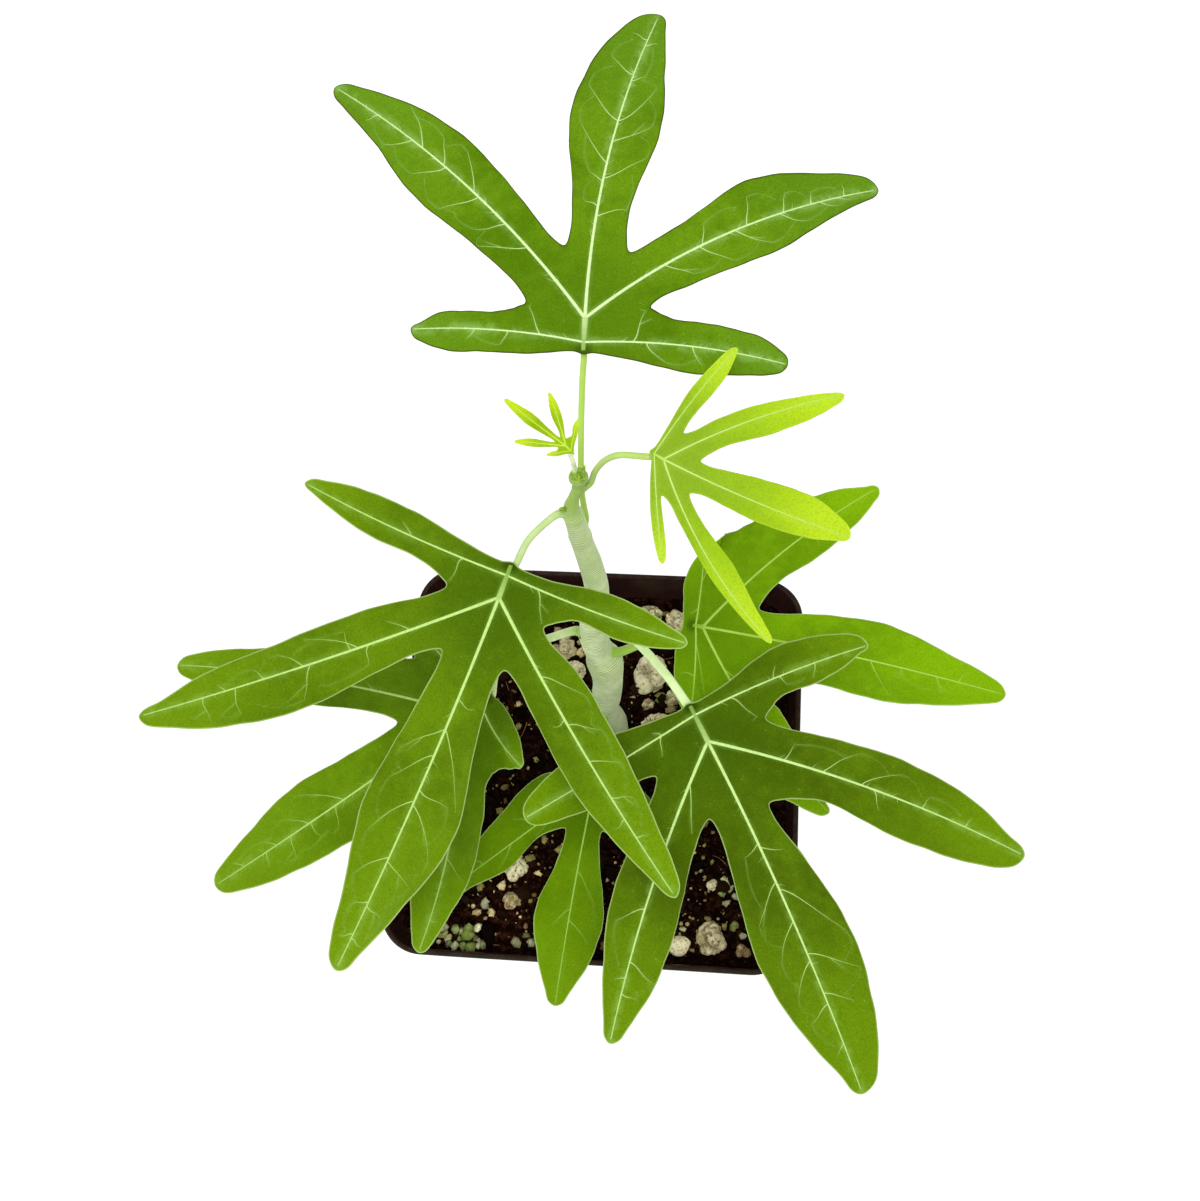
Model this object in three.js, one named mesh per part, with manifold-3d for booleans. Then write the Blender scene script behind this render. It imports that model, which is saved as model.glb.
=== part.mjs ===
// A young adenia venenata in a square nursery pot, in millimetres, +Z up.
// The origin is the centre of the pot's foot, +X is to the right and +Y to the back.
import * as THREE from "three";
import { mergeVertices } from "three/addons/utils/BufferGeometryUtils.js";
import Module from "manifold-3d";

const wasm = await Module();
wasm.setup();

// Driving sizes
const POT_RIM = 89;
const POT_FOOT = 64;
const POT_HEIGHT = 83;
const POT_WALL = 1.2;
const RIM_CORNER = 9.5;
const FOOT_CORNER = 7;
const LIP_HEIGHT = 10;
const LIP_STEP = 1.5;
const DRAIN_HOLE = 8;
const SOIL_TOP = POT_HEIGHT - 10;
const BLADE = 0.65; // thickness of a leaf blade
const GAP = 0.3; // between pieces that touch on the real plant

const matt = (color, roughness = 0.8) => new THREE.MeshStandardMaterial({ color, roughness, metalness: 0 });
const POT_BLACK = matt(0x1c1716, 0.4);
const SOIL_BROWN = matt(0x1d120c, 0.95);
const PUMICE_CREAM = matt(0xd6c39f, 0.95);
const STEM_GREEN = matt(0xa5be91, 0.6);
const STALK_GREEN = matt(0xa5d782, 0.5);
const LEAF_GREEN = matt(0x5f8c10, 0.45);
const YOUNG_GREEN = matt(0xa0d71e, 0.45);
const BUD_GREEN = matt(0x6f9a2c, 0.5);

const rad = THREE.MathUtils.degToRad;
const mix = THREE.MathUtils.lerp;
const clamp = THREE.MathUtils.clamp;
const smooth = (x) => THREE.MathUtils.smoothstep(x, 0, 1);
const vec = (x, y, z) => new THREE.Vector3(x, y, z);

const plant = new THREE.Group();

function place(name, geometry, material) {
  const mesh = new THREE.Mesh(geometry, material);
  mesh.name = name;
  plant.add(mesh);
  return mesh;
}

// Seeded random numbers from 0 to 1
function dice(seed) {
  let state = seed;
  return () => {
    state = (Math.imul(state, 1664525) + 1013904223) >>> 0;
    return state / 4294967296;
  };
}

// Solids

function fromTriangles(corners) {
  const geometry = new THREE.BufferGeometry();
  geometry.setAttribute("position", new THREE.Float32BufferAttribute(corners, 3));
  return mergeVertices(geometry, 1e-3);
}

function toManifold(geometry) {
  const bare = new THREE.BufferGeometry();
  bare.setAttribute("position", geometry.getAttribute("position"));
  bare.setIndex(geometry.getIndex());
  const merged = mergeVertices(bare, 1e-3);
  return new wasm.Manifold(new wasm.Mesh({
    numProp: 3,
    vertProperties: new Float32Array(merged.getAttribute("position").array),
    triVerts: new Uint32Array(merged.getIndex().array),
  }));
}

function fromManifold(solid) {
  const mesh = solid.getMesh();
  const geometry = new THREE.BufferGeometry();
  geometry.setAttribute("position", new THREE.BufferAttribute(mesh.vertProperties, 3));
  geometry.setIndex(new THREE.BufferAttribute(mesh.triVerts, 1));
  return geometry;
}

// A closed skin over rings of equal count, each ring anticlockwise round the way that the rings go
function skin(rings) {
  const corners = [];
  const triangle = (a, b, c) => corners.push(...a.toArray(), ...b.toArray(), ...c.toArray());
  const count = rings[0].length;
  const middle = (ring) => ring.reduce((sum, p) => sum.add(p), vec(0, 0, 0)).divideScalar(count);
  const bottom = middle(rings[0]);
  const top = middle(rings[rings.length - 1]);
  for (let i = 0; i < count; i++) {
    const j = (i + 1) % count;
    triangle(bottom, rings[0][j], rings[0][i]);
    triangle(top, rings[rings.length - 1][i], rings[rings.length - 1][j]);
    for (let k = 0; k + 1 < rings.length; k++) {
      triangle(rings[k][i], rings[k][j], rings[k + 1][j]);
      triangle(rings[k][i], rings[k + 1][j], rings[k + 1][i]);
    }
  }
  return fromTriangles(corners);
}

// A round tube through the centres, with a radius at each
function tube(centres, radii, sides) {
  let across = null;
  const rings = centres.map((centre, i) => {
    const before = centres[Math.max(i - 1, 0)];
    const after = centres[Math.min(i + 1, centres.length - 1)];
    const along = after.clone().sub(before).normalize();
    across ??= vec(1, 0, 0);
    across = across.clone().addScaledVector(along, -across.dot(along)).normalize();
    const third = along.clone().cross(across);
    return Array.from({ length: sides }, (_, k) => {
      const turn = (2 * Math.PI * k) / sides;
      return centre.clone()
        .addScaledVector(across, radii[i] * Math.cos(turn))
        .addScaledVector(third, radii[i] * Math.sin(turn));
    });
  });
  return skin(rings);
}

// A curve through hand-set points and the radii beside them, both read at even steps
function tubeAlong(points, radii, sides, steps) {
  const curve = new THREE.CatmullRomCurve3(points, false, "centripetal");
  const centres = [];
  const sizes = [];
  for (let i = 0; i <= steps; i++) {
    const f = i / steps;
    const place = f * (radii.length - 1);
    const low = Math.min(Math.floor(place), radii.length - 2);
    centres.push(curve.getPoint(f));
    sizes.push(mix(radii[low], radii[low + 1], smooth(place - low)));
  }
  return tube(centres, sizes, sides);
}

// Pot

const CORNER_STEPS = 6; // cells round a quarter turn

function roundedSquare(half, corner, z, lift = () => 0) {
  const ring = [];
  for (let quarter = 0; quarter < 4; quarter++) {
    for (let i = 0; i <= CORNER_STEPS; i++) {
      const turn = (quarter + i / CORNER_STEPS) * (Math.PI / 2);
      const sx = quarter === 0 || quarter === 3 ? 1 : -1;
      const sy = quarter < 2 ? 1 : -1;
      const x = sx * (half - corner) + corner * Math.cos(turn);
      const y = sy * (half - corner) + corner * Math.sin(turn);
      ring.push(vec(x, y, z + lift(x, y)));
    }
  }
  return ring;
}

// Half width and corner radius of the tapered wall's outer face at a height
function wallAt(z) {
  const f = z / POT_HEIGHT;
  return {
    half: mix(POT_FOOT / 2, POT_RIM / 2 - LIP_STEP, f),
    corner: mix(FOOT_CORNER, RIM_CORNER - LIP_STEP, f),
  };
}

function potShell() {
  const ring = (z, out) => {
    const wall = wallAt(z);
    return roundedSquare(wall.half + out, wall.corner + out, z);
  };
  const lipFoot = POT_HEIGHT - LIP_HEIGHT;
  const slope = LIP_STEP * 0.6; // height over which the wall steps out to the lip
  const waist = POT_HEIGHT * 0.45;
  const floor = 1.6;
  const round = 0.5; // rounding at the rim and the foot
  return skin([
    ring(0, -round),
    ring(round, 0),
    ring(waist, 0),
    ring(lipFoot - slope, 0),
    ring(lipFoot, LIP_STEP),
    ring(POT_HEIGHT - round, LIP_STEP),
    ring(POT_HEIGHT, LIP_STEP - round),
    ring(POT_HEIGHT, LIP_STEP - POT_WALL + round),
    ring(POT_HEIGHT - round, LIP_STEP - POT_WALL),
    ring(lipFoot + slope, LIP_STEP - POT_WALL),
    ring(lipFoot, -POT_WALL),
    ring(waist, -POT_WALL),
    ring(floor + 2, -POT_WALL),
    ring(floor, -POT_WALL - 2),
  ]);
}

function pot() {
  let solid = toManifold(potShell());
  const reach = POT_FOOT / 2 - DRAIN_HOLE;
  for (const [sx, sy] of [[1, 1], [-1, 1], [-1, -1], [1, -1]]) {
    const drill = new THREE.CylinderGeometry(DRAIN_HOLE / 2, DRAIN_HOLE / 2, 8, 16);
    drill.rotateX(Math.PI / 2).translate(sx * reach, sy * reach, 0);
    solid = solid.subtract(toManifold(drill));
  }
  place("pot", fromManifold(solid), POT_BLACK);
}

// Stem: centre and radius at each height, swollen between its leaf nodes
const STEM = [
  [2.4, 8.2, 55, 2.6], [2.4, 8.2, 64, 3.4], [2.4, 8.2, 73, 3.6], [2.3, 8.5, 83.5, 3.8], [2, 9.2, 93.5, 2.6],
  [2.5, 9.8, 100, 3.1], [3.2, 10.5, 108, 3.1], [3.2, 11.3, 119, 3.7], [2.6, 11.5, 124, 2.8], [2, 11.8, 129, 2.8],
  [2.4, 12.6, 139, 2.7], [3.8, 13.8, 151.5, 2.2], [3.4, 14.5, 162, 2.1], [2.6, 15, 171, 1.9], [2, 15.5, 179.5, 1.7],
  [1.8, 15.7, 183, 1.3], [2.5, 16.1, 186.5, 0.9], [3.5, 16.6, 189.5, 0.9], [3.6, 16.8, 192, 1.4],
  [3.6, 16.8, 193, 1.3],
];
const STEM_STEPS = 2 * (STEM.length - 1);
const STEM_SIDES = 12;
const ROOT_FOOT = STEM[0];
const SOIL_LINE = STEM[2];

function stemAt(z) {
  const i = clamp(STEM.findIndex((station) => station[2] >= z), 1, STEM.length - 1);
  const [below, above] = [STEM[i - 1], STEM[i]];
  const f = (z - below[2]) / (above[2] - below[2]);
  return { centre: vec(mix(below[0], above[0], f), mix(below[1], above[1], f), z), radius: mix(below[3], above[3], f) };
}

// A pointed bud: a turned body from its base to its tip
function bud(base, towards, length, radius, sides = 6) {
  const outline = [[0, 0], [0.8, 0.15], [1, 0.4], [0.55, 0.8], [0, 1]];
  const body = new THREE.LatheGeometry(outline.map(([r, h]) => new THREE.Vector2(r * radius, h * length)), sides);
  const turn = new THREE.Quaternion().setFromUnitVectors(vec(0, 1, 0), towards.clone().normalize());
  return body.applyQuaternion(turn).translate(base.x, base.y, base.z);
}

// Side buds in the leaf axils: height, the way they face and their length
const SIDE_BUDS = [[183.5, 215, 1.8], [132.5, 205, 1.6], [96, -110, 2.2]];

function stem() {
  const points = STEM.map(([x, y, z]) => vec(x, y, z));
  const radii = STEM.map((station) => station[3]);
  let solid = toManifold(tubeAlong(points, radii, STEM_SIDES, STEM_STEPS));
  for (const [z, way, length] of SIDE_BUDS) {
    const { centre, radius } = stemAt(z);
    const out = vec(Math.cos(rad(way)), Math.sin(rad(way)), 0);
    const base = centre.clone().addScaledVector(out, radius * 0.6);
    solid = solid.add(toManifold(bud(base, out.clone().setZ(1.1), length, length * 0.36)));
  }
  place("stem", fromManifold(solid), STEM_GREEN);
}

// The shoot tip: pointed scales round the growing point, cut level just over the stem's top
function shootTip() {
  const [x, y, z] = STEM[STEM.length - 1];
  const foot = vec(x + 0.5, y - 0.6, z + GAP);
  let solid = toManifold(bud(foot, vec(0, 0, 1), 3, 0.75));
  for (const [way, length] of [[-60, 3.4], [60, 2.6], [200, 2.8]]) {
    const lean = vec(Math.cos(rad(way)), Math.sin(rad(way)), 1.6);
    solid = solid.add(toManifold(bud(foot, lean, length, 0.45)));
  }
  const below = new THREE.BoxGeometry(6, 6, 2).translate(foot.x, foot.y, z + GAP - 1);
  place("shoot_tip", fromManifold(solid.subtract(toManifold(below))), BUD_GREEN);
}

// Leaves.
// A blade lies on its own plane. Its origin is the stalk joint, x runs to the fork of the three large veins
// and on to the middle lobe, and y is to the left. Lobes go from the left base lobe round to the right one.
// A lobe's midrib starts at the fork, or for a base lobe on the short vein between joint and fork.
// turn: the angle that its midrib starts at. bow: how far the midrib turns along its length.
// left and right: half widths at the stations between its notch and its tip.
// notches: angle and reach, from the fork, of the four notches between the lobes.
// lift: how far each lobe's tip rises from the plane at the REACH, where droop is how far all fall.
// stalk: the height of its seat on the stem, the way it leaves there and how steeply, its radius, and the
// points that it passes. Without a way it stands on the stem's top.
const STATIONS = [0.2, 0.5, 0.75, 0.92];
const REACH = 60;
const LEAVES = [
  {
    name: "leaf_rear", joint: [3.4, 35.9, 198], head: 91, pitch: 5, roll: 0, droop: 5, lift: [0, 2, 0, -2, 0],
    fork: 5.5, split: 1.4, back: [-0.6, 0], notches: [[74, 10], [17, 13.5], [-29, 13.5], [-78, 10.5]],
    lobes: [
      { turn: 78, long: 28, bow: 14, left: [3, 4, 4, 2.5], right: [3, 3, 2.5, 1] },
      { turn: 36, long: 63.5, bow: 19, left: [6, 7.5, 4.5, 2.5], right: [4.5, 6, 4.5, 2.5] },
      { turn: 0, long: 60.5, bow: -18, left: [4.5, 8, 7, 4.5], right: [5.5, 7.5, 5, 2.5] },
      { turn: -48, long: 53.5, bow: -25, left: [4.5, 7, 5.5, 3.5], right: [5.5, 6.5, 4, 2] },
      { turn: -87, long: 32, bow: -16, left: [4, 4, 3.5, 2], right: [3, 4.5, 4, 2.5] },
    ],
    stalk: { z: 174, way: 75, radius: 0.5, via: [[2.8, 20.6, 180], [2.9, 27.2, 188], [3.1, 33, 193.3]] },
  },
  {
    name: "leaf_front_left", joint: [-7.6, 6.6, 180], head: -106, pitch: -8, roll: 0, droop: 6,
    lift: [0, -2, -3, 1, 0], fork: 5.6, split: 1.8, back: [-0.6, 0.2],
    notches: [[74, 9], [24, 12], [-29, 12.5], [-85, 9]],
    lobes: [
      { turn: 83, long: 31, bow: 9, left: [2, 3.5, 3, 1.5], right: [2.5, 3, 2.5, 1.5] },
      { turn: 46, long: 54.5, bow: 7, left: [5.5, 5.5, 4, 2.5], right: [4, 4.5, 3, 1.5] },
      { turn: -1, long: 64.5, bow: -10, left: [5.5, 8.5, 5.5, 2.5], right: [6, 7.5, 5, 3] },
      { turn: -51, long: 64, bow: -8, left: [5, 7, 5.5, 3], right: [5.5, 5, 4, 1.5] },
      { turn: -93, long: 39.5, bow: -9, left: [3, 3, 2, 1], right: [2.5, 4, 3.5, 2] },
    ],
    stalk: { z: 181.5, way: 190, radius: 0.6, via: [[-3.1, 13.5, 180.3], [-5.4, 11.1, 179.3]] },
  },
  {
    name: "leaf_front_right", joint: [21.6, -6.9, 151], head: -61, pitch: -7, roll: 0, droop: 7,
    lift: [2, 0, -3, -1, 0], fork: 6.9, split: 1.8, back: [-0.6, -0.3],
    notches: [[86, 11], [19, 15], [-25, 13.5], [-81, 11]],
    lobes: [
      { turn: 92, long: 33.5, bow: -10, left: [2.5, 5, 4.5, 3], right: [3.5, 3.5, 2.5, 1] },
      { turn: 52, long: 58.5, bow: -13, left: [6, 6.5, 5, 2], right: [5, 6.5, 6, 4] },
      { turn: 1, long: 64.5, bow: -5, left: [6, 8.5, 7, 4.5], right: [6.5, 8.5, 6, 2.5] },
      { turn: -50, long: 53.5, bow: 12, left: [5, 6, 5, 2.5], right: [5.5, 6, 4, 2] },
      { turn: -83, long: 34.5, bow: -3, left: [4.5, 4.5, 3.5, 2.5], right: [3, 5, 4.5, 3] },
    ],
    stalk: { z: 141, way: -15, radius: 0.8, via: [[11.7, 6.1, 144.5], [17.3, -0.6, 147]] },
  },
  {
    name: "leaf_low_left", joint: [-17.4, -1.9, 133], head: -142, pitch: -6, roll: 0, droop: 5,
    lift: [-6, 0, -2, 1, 0], fork: 5, split: 1.5, back: [-1.5, -0.8],
    notches: [[77, 13.5], [25, 12.5], [-29, 13.5], [-82, 15.5]],
    lobes: [
      { turn: 76, long: 15, bow: 25, left: [4, 4, 3, 1.5], right: [2.5, 2, 1] },
      { turn: 56, long: 45, bow: -22, left: [5.5, 5.5, 3.5, 2], right: [6.5, 6, 4.5, 2.5] },
      { turn: 1, long: 59, bow: -8, left: [8, 7.5, 6, 3.5], right: [6.5, 7.5, 5.5, 3] },
      { turn: -52, long: 62.5, bow: 11, left: [4.5, 5.5, 5, 3], right: [7.5, 5.5, 4, 2.5] },
      { turn: -88, long: 22.5, bow: 12, left: [3.5, 3, 2.5, 1.5], right: [3.5, 3.5, 3, 2.5] },
    ],
    stalk: { z: 132, way: 170, radius: 0.8, via: [[-5.5, 10.4, 134.5], [-10.8, 8, 134.3], [-16.2, 4, 132]] },
  },
  {
    name: "leaf_low_front", joint: [2.9, -3, 101], head: -103, pitch: -2, roll: 0, droop: 4, lift: [0, 0, 0, 0, 0],
    fork: 6.5, split: 1, back: [-1.5, 0], notches: [[102, 6.5], [25, 10.5], [-16, 11.5], [-114, 6]],
    lobes: [
      { turn: 124, long: 14.5, bow: -15, left: [2, 2.5, 2, 1], right: [5, 3.5, 2.5, 1] },
      { turn: 57, long: 24.5, bow: 8, left: [6, 5, 3, 1.5], right: [5, 4, 3, 2] },
      { turn: 5, long: 45.5, bow: 3, left: [4.5, 7, 5.5, 2.5], right: [4.5, 7, 5, 2.5] },
      { turn: -37, long: 40, bow: -1, left: [2.5, 4, 2.5, 2], right: [8, 6, 4, 2] },
      { turn: -116, long: 11, bow: 30, left: [3, 2.5, 2, 0.5], right: [2, 1.5, 1.5, 1] },
    ],
    stalk: { z: 93.5, way: -95, radius: 0.7, via: [[2.2, 2.5, 96.5]] },
  },
  {
    name: "leaf_right_rear", joint: [20.6, 18.1, 123], head: -7, pitch: -2, roll: 0, droop: 4,
    lift: [0, 2, -1, 0, 0], fork: 2, split: 0.6, back: [-2.3, -2],
    notches: [[86, 21], [29, 12], [-38, 18.5], [-77, 20.5]],
    lobes: [
      { turn: 91, long: 17, bow: 5, left: [3, 3.5, 2.5, 1], right: [] },
      { turn: 59, long: 48, bow: -17, left: [8.5, 6.5, 4, 1.5], right: [4.5, 5.5, 4.5, 2.5] },
      { turn: 0, long: 61, bow: -3, left: [6.5, 8, 5, 3], right: [7.5, 8, 5.5, 3] },
      { turn: -57, long: 44, bow: 20, left: [5, 4, 2.5, 1], right: [8, 7.5, 4.5, 2.5] },
      { turn: -79, long: 20, bow: -10, left: [], right: [4, 4, 3, 1] },
    ],
    stalk: { z: 124.6, way: -5, radius: 0.85, via: [[9.8, 12.6, 125], [14.6, 15.6, 123.4]] },
  },
  {
    name: "leaf_young", joint: [15.6, 16, 203], head: -28, pitch: -6, roll: 8, droop: 3, lift: [0, 1, -1, -2, 0],
    fork: 1.8, split: 0.2, back: [-0.6, 0], notches: [[84, 5], [28, 5.5], [-22, 6.5], [-61, 5.5]],
    lobes: [
      { turn: 89, long: 20.5, bow: -9, left: [0.6, 1.2, 1.1, 0.8], right: [1.6, 1.8, 1.6, 0.8] },
      { turn: 60, long: 28.5, bow: -17, left: [2, 1.8, 1.2, 0.7], right: [2.4, 3, 2.6, 1.4] },
      { turn: 3, long: 29.5, bow: 10, left: [2.6, 3.8, 3.6, 2.2], right: [2.4, 2.8, 2.2, 1.2] },
      { turn: -42, long: 31.5, bow: 26, left: [1.8, 2.6, 1.8, 1], right: [1.2, 1.2, 0.9, 0.6] },
      { turn: -57, long: 16.5, bow: 5, left: [0.7, 0.8, 0.8, 0.6], right: [0.7, 1, 0.9, 0.6] },
    ],
    stalk: {
      z: 189.6, way: 15, rise: 62, radius: 0.5,
      via: [[6.4, 17.1, 194.2], [8.4, 16.8, 198.8], [10.6, 16.5, 201]],
    },
  },
  {
    name: "leaf_tiny", joint: [3.2, 17.3, 200], head: 142, pitch: 22, roll: 0, droop: 0, lift: [0, 0, 0, 0, 0],
    fork: 1.2, split: 0.2, back: [-0.6, 0], notches: [[56, 1.2], [24, 1.8], [-12, 1.6], [-48, 1.2]],
    lobes: [
      { turn: 52, long: 3.8, bow: 6, left: [0.4, 0.5, 0.4, 0.2], right: [0.3, 0.3, 0.2, 0.1] },
      { turn: 39, long: 7.8, bow: 3, left: [0.4, 0.6, 0.5, 0.3], right: [0.4, 0.6, 0.5, 0.3] },
      { turn: 9, long: 11.5, bow: -3, left: [0.6, 0.9, 0.7, 0.4], right: [0.6, 0.9, 0.7, 0.4] },
      { turn: -31, long: 8.5, bow: 4, left: [0.5, 0.8, 0.6, 0.3], right: [0.5, 0.7, 0.6, 0.3] },
      { turn: -56, long: 5, bow: -8, left: [0.3, 0.4, 0.4, 0.2], right: [0.4, 0.5, 0.4, 0.2] },
    ],
    stalk: { z: 193, radius: 0.4, via: [[3, 17.7, 194.6], [3, 17.6, 196.5]] },
  },
];

const ALONG = 10; // cells along a lobe between its notch and its tip
const ACROSS = 2; // cells from a midrib to the margin
const CROWD = 1.3; // how far the cells crowd towards the notches, where 1 is evenly spaced
const NOTCH_SHARE = 0.25; // where a notch's rounding lies between the notch and the first station
const NOTCH_ROUND = 0.06; // how far it lies inside the straight line between them, of that line
const TIP_SHARE = 0.25; // where a tip's rounding lies between the tip and the last station
const TIP_WIDE = 0.58; // its half width, of the last station's
const CUP = 0.1; // how far a margin rises over its midrib, of the half width
const WAVE = 0.35; // height of the margin's waves
const LIFT_SPREAD = rad(25); // how far round the fork one lobe's lift reaches
const SEAT_RUN = 0.7; // how far a stalk runs straight from its seat on the stem
const STALK_BEND = 1.9; // radius of a stalk's bend under its blade, of the stalk's own radius
const STALK_END = 0.2; // straight end of a stalk after that bend

const polar = (angle, reach) => new THREE.Vector2(Math.cos(angle), Math.sin(angle)).multiplyScalar(reach);

// A point on a lobe's midrib, an arc that starts at its root and turns by its bow, and the way it heads there
function onMidrib(lobe, f) {
  const start = rad(lobe.turn);
  const bow = rad(lobe.bow);
  const heading = start + bow * f;
  if (lobe.bow === 0) return { point: polar(start, lobe.long * f).add(lobe.root), heading };
  const radius = lobe.long / bow;
  const x = radius * (Math.sin(heading) - Math.sin(start));
  const y = radius * (Math.cos(start) - Math.cos(heading));
  return { point: new THREE.Vector2(x, y).add(lobe.root), heading };
}

// The fraction of a midrib that lies nearest to a point
function nearestFraction(lobe, point) {
  const tries = 200;
  let best = 0;
  for (let i = 1; i <= tries; i++) {
    const here = onMidrib(lobe, i / tries).point.distanceTo(point);
    if (here < onMidrib(lobe, best).point.distanceTo(point)) best = i / tries;
  }
  return best;
}

// One side of a lobe, from its notch to its tip: margin points and the midrib fractions beside them.
// A point near the notch and one near the tip keep both round.
function lobeSide(lobe, notch, widths, side) {
  const from = nearestFraction(lobe, notch);
  const places = widths.map((width, i) => [STATIONS[i], width]);
  if (places.length > 0) {
    const [share, width] = places[places.length - 1];
    places.push([mix(1, share, TIP_SHARE), TIP_WIDE * width]);
  }
  const stations = places.map(([share, width]) => {
    const f = mix(from, 1, share);
    const { point, heading } = onMidrib(lobe, f);
    return { f, point: polar(heading + (side * Math.PI) / 2, width).add(point) };
  });
  const ends = [{ f: from, point: notch }, ...stations, { f: 1, point: onMidrib(lobe, 1).point }];
  const { f, point } = ends[1];
  const way = point.clone().sub(notch);
  const inward = polar(way.angle() - (side * Math.PI) / 2, NOTCH_ROUND * way.length());
  const rounding = { f: mix(from, f, NOTCH_SHARE), point: notch.clone().lerp(point, NOTCH_SHARE).add(inward) };
  return [ends[0], rounding, ...ends.slice(1)];
}

// The blade's outline: one smooth closed curve through every notch, station and tip. It is read lobe side by
// lobe side, each as a function of the cells from its notch, 0, to its tip, 1.
function outline(leaf) {
  const fork = new THREE.Vector2(leaf.fork, 0);
  const notches = leaf.notches.map(([angle, reach]) => polar(rad(angle), reach).add(fork));
  const back = new THREE.Vector2(...leaf.back);
  const sides = leaf.lobes.flatMap((lobe, k) => {
    lobe.root = k === 0 || k === 4 ? new THREE.Vector2(leaf.split, 0) : fork;
    return [
      lobeSide(lobe, k === 0 ? back : notches[k - 1], lobe.left, 1),
      lobeSide(lobe, k === 4 ? back : notches[k], lobe.right, -1),
    ];
  });
  const ring = [];
  const starts = sides.map((side, k) => {
    const order = k % 2 === 0 ? side.slice(0, -1) : side.slice(1).reverse();
    ring.push(...order.map(({ point }) => vec(point.x, point.y, 0)));
    return ring.length - order.length;
  });
  const curve = new THREE.CatmullRomCurve3(ring, true, "centripetal");
  return sides.map((side, k) => (share) => {
    const spans = side.length - 1;
    const step = share * spans;
    const low = Math.min(Math.floor(step), spans - 1);
    const place = k % 2 === 0 ? starts[k] + step : starts[k] + spans - step;
    const { x, y } = curve.getPoint((place % ring.length) / ring.length);
    return { f: mix(side[low].f, side[low + 1].f, step - low), point: new THREE.Vector2(x, y) };
  });
}

// Height over the leaf's plane: all lobes fall away from the fork, some less than others
function sag(leaf, point) {
  const x = point.x - leaf.fork;
  const angle = Math.atan2(point.y, x);
  const lifts = leaf.lobes.map((lobe, k) => {
    const tip = onMidrib(lobe, 1).point;
    const apart = angle - Math.atan2(tip.y, tip.x - leaf.fork);
    const short = Math.atan2(Math.sin(apart), Math.cos(apart));
    return leaf.lift[k] * Math.exp(-((short / LIFT_SPREAD) ** 2));
  });
  const rise = lifts.reduce((sum, lift) => sum + lift, -leaf.droop);
  return ((x * x + point.y * point.y) / (REACH * REACH)) * rise;
}

// The margin beside one lobe, one point to each cross row, and how far up the midrib that row starts.
// The side of a base lobe next to its neighbour first follows the line from the fork to their notch.
function marginPoints(leaf, k, side, sample) {
  const base = k === 0 || k === 4;
  const shared = (k === 0 && side < 0) || (k === 4 && side > 0);
  const cells = base && !shared ? ALONG + ACROSS : ALONG;
  const { f: from, point: notch } = sample(0);
  const first = shared ? from * 0.5 : 0;
  const points = [];
  for (let i = 0; shared && i < ACROSS; i++) {
    const share = i / ACROSS;
    points.push({ f: first * share, point: new THREE.Vector2(leaf.fork, 0).lerp(notch, share), edge: 0 });
  }
  for (let i = 0; i <= cells; i++) {
    const share = (i / cells) ** CROWD;
    const { f, point } = sample(share);
    points.push({ f: f - (from - first) * (1 - share) ** 2, point, edge: smooth(3 * share) });
  }
  return points;
}

// Cross rows of both sides of a lobe, each from the midrib to the margin. The margin rises over the midrib
// and waves a little.
function lobeRows(leaf, k, samples) {
  const lobe = leaf.lobes[k];
  const margins = [1, -1].map((side, i) => marginPoints(leaf, k, side, samples[i]));
  return margins.map((margin, i) => margin.map(({ point: rim, edge }, row) => {
    const f = (margins[0][row].f + margins[1][row].f) / 2;
    const { point: rib } = onMidrib(lobe, f);
    const half = rib.distanceTo(rim);
    const wave = WAVE * Math.sin(2 * Math.PI * (2.2 * f + 0.3 * k + 0.4 * i)) * Math.min(1, half / 5);
    return Array.from({ length: ACROSS + 1 }, (_, j) => {
      const across = j / ACROSS;
      const spot = rib.clone().lerp(rim, across);
      return vec(spot.x, spot.y, sag(leaf, spot) + across * across * edge * (CUP * half + wave));
    });
  }));
}

// The whole upper face as triangles, all anticlockwise seen from above
function upperFace(leaf) {
  const corners = [];
  const triangle = (a, b, c) => {
    const area = (b.x - a.x) * (c.y - a.y) - (b.y - a.y) * (c.x - a.x);
    const order = area > 0 ? [a, b, c] : [a, c, b];
    order.forEach((p) => corners.push(p.x, p.y, p.z));
  };
  const samples = outline(leaf);
  for (const rows of leaf.lobes.flatMap((_, k) => lobeRows(leaf, k, samples.slice(2 * k, 2 * k + 2)))) {
    for (let i = 0; i + 1 < rows.length; i++) {
      for (let j = 0; j < ACROSS; j++) {
        triangle(rows[i][j], rows[i][j + 1], rows[i + 1][j + 1]);
        triangle(rows[i][j], rows[i + 1][j + 1], rows[i + 1][j]);
      }
    }
  }
  return fromTriangles(corners);
}

// A blade: the upper face, the same face a thickness below it, and the rim between them
function bladeGeometry(leaf) {
  const face = upperFace(leaf);
  const position = face.getAttribute("position");
  const point = (i, drop) => [position.getX(i), position.getY(i), position.getZ(i) - drop];
  const indices = Array.from(face.getIndex().array);
  const corners = [];
  const edges = new Map();
  for (let i = 0; i < indices.length; i += 3) {
    const [a, b, c] = indices.slice(i, i + 3);
    if (a === b || b === c || c === a) continue;
    corners.push(...point(a, 0), ...point(b, 0), ...point(c, 0));
    corners.push(...point(a, BLADE), ...point(c, BLADE), ...point(b, BLADE));
    for (const [p, q] of [[a, b], [b, c], [c, a]]) {
      if (!edges.delete(`${q} ${p}`)) edges.set(`${p} ${q}`, [p, q]);
    }
  }
  for (const [p, q] of edges.values()) {
    corners.push(...point(p, 0), ...point(p, BLADE), ...point(q, BLADE));
    corners.push(...point(p, 0), ...point(q, BLADE), ...point(q, 0));
  }
  return fromTriangles(corners);
}

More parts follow.
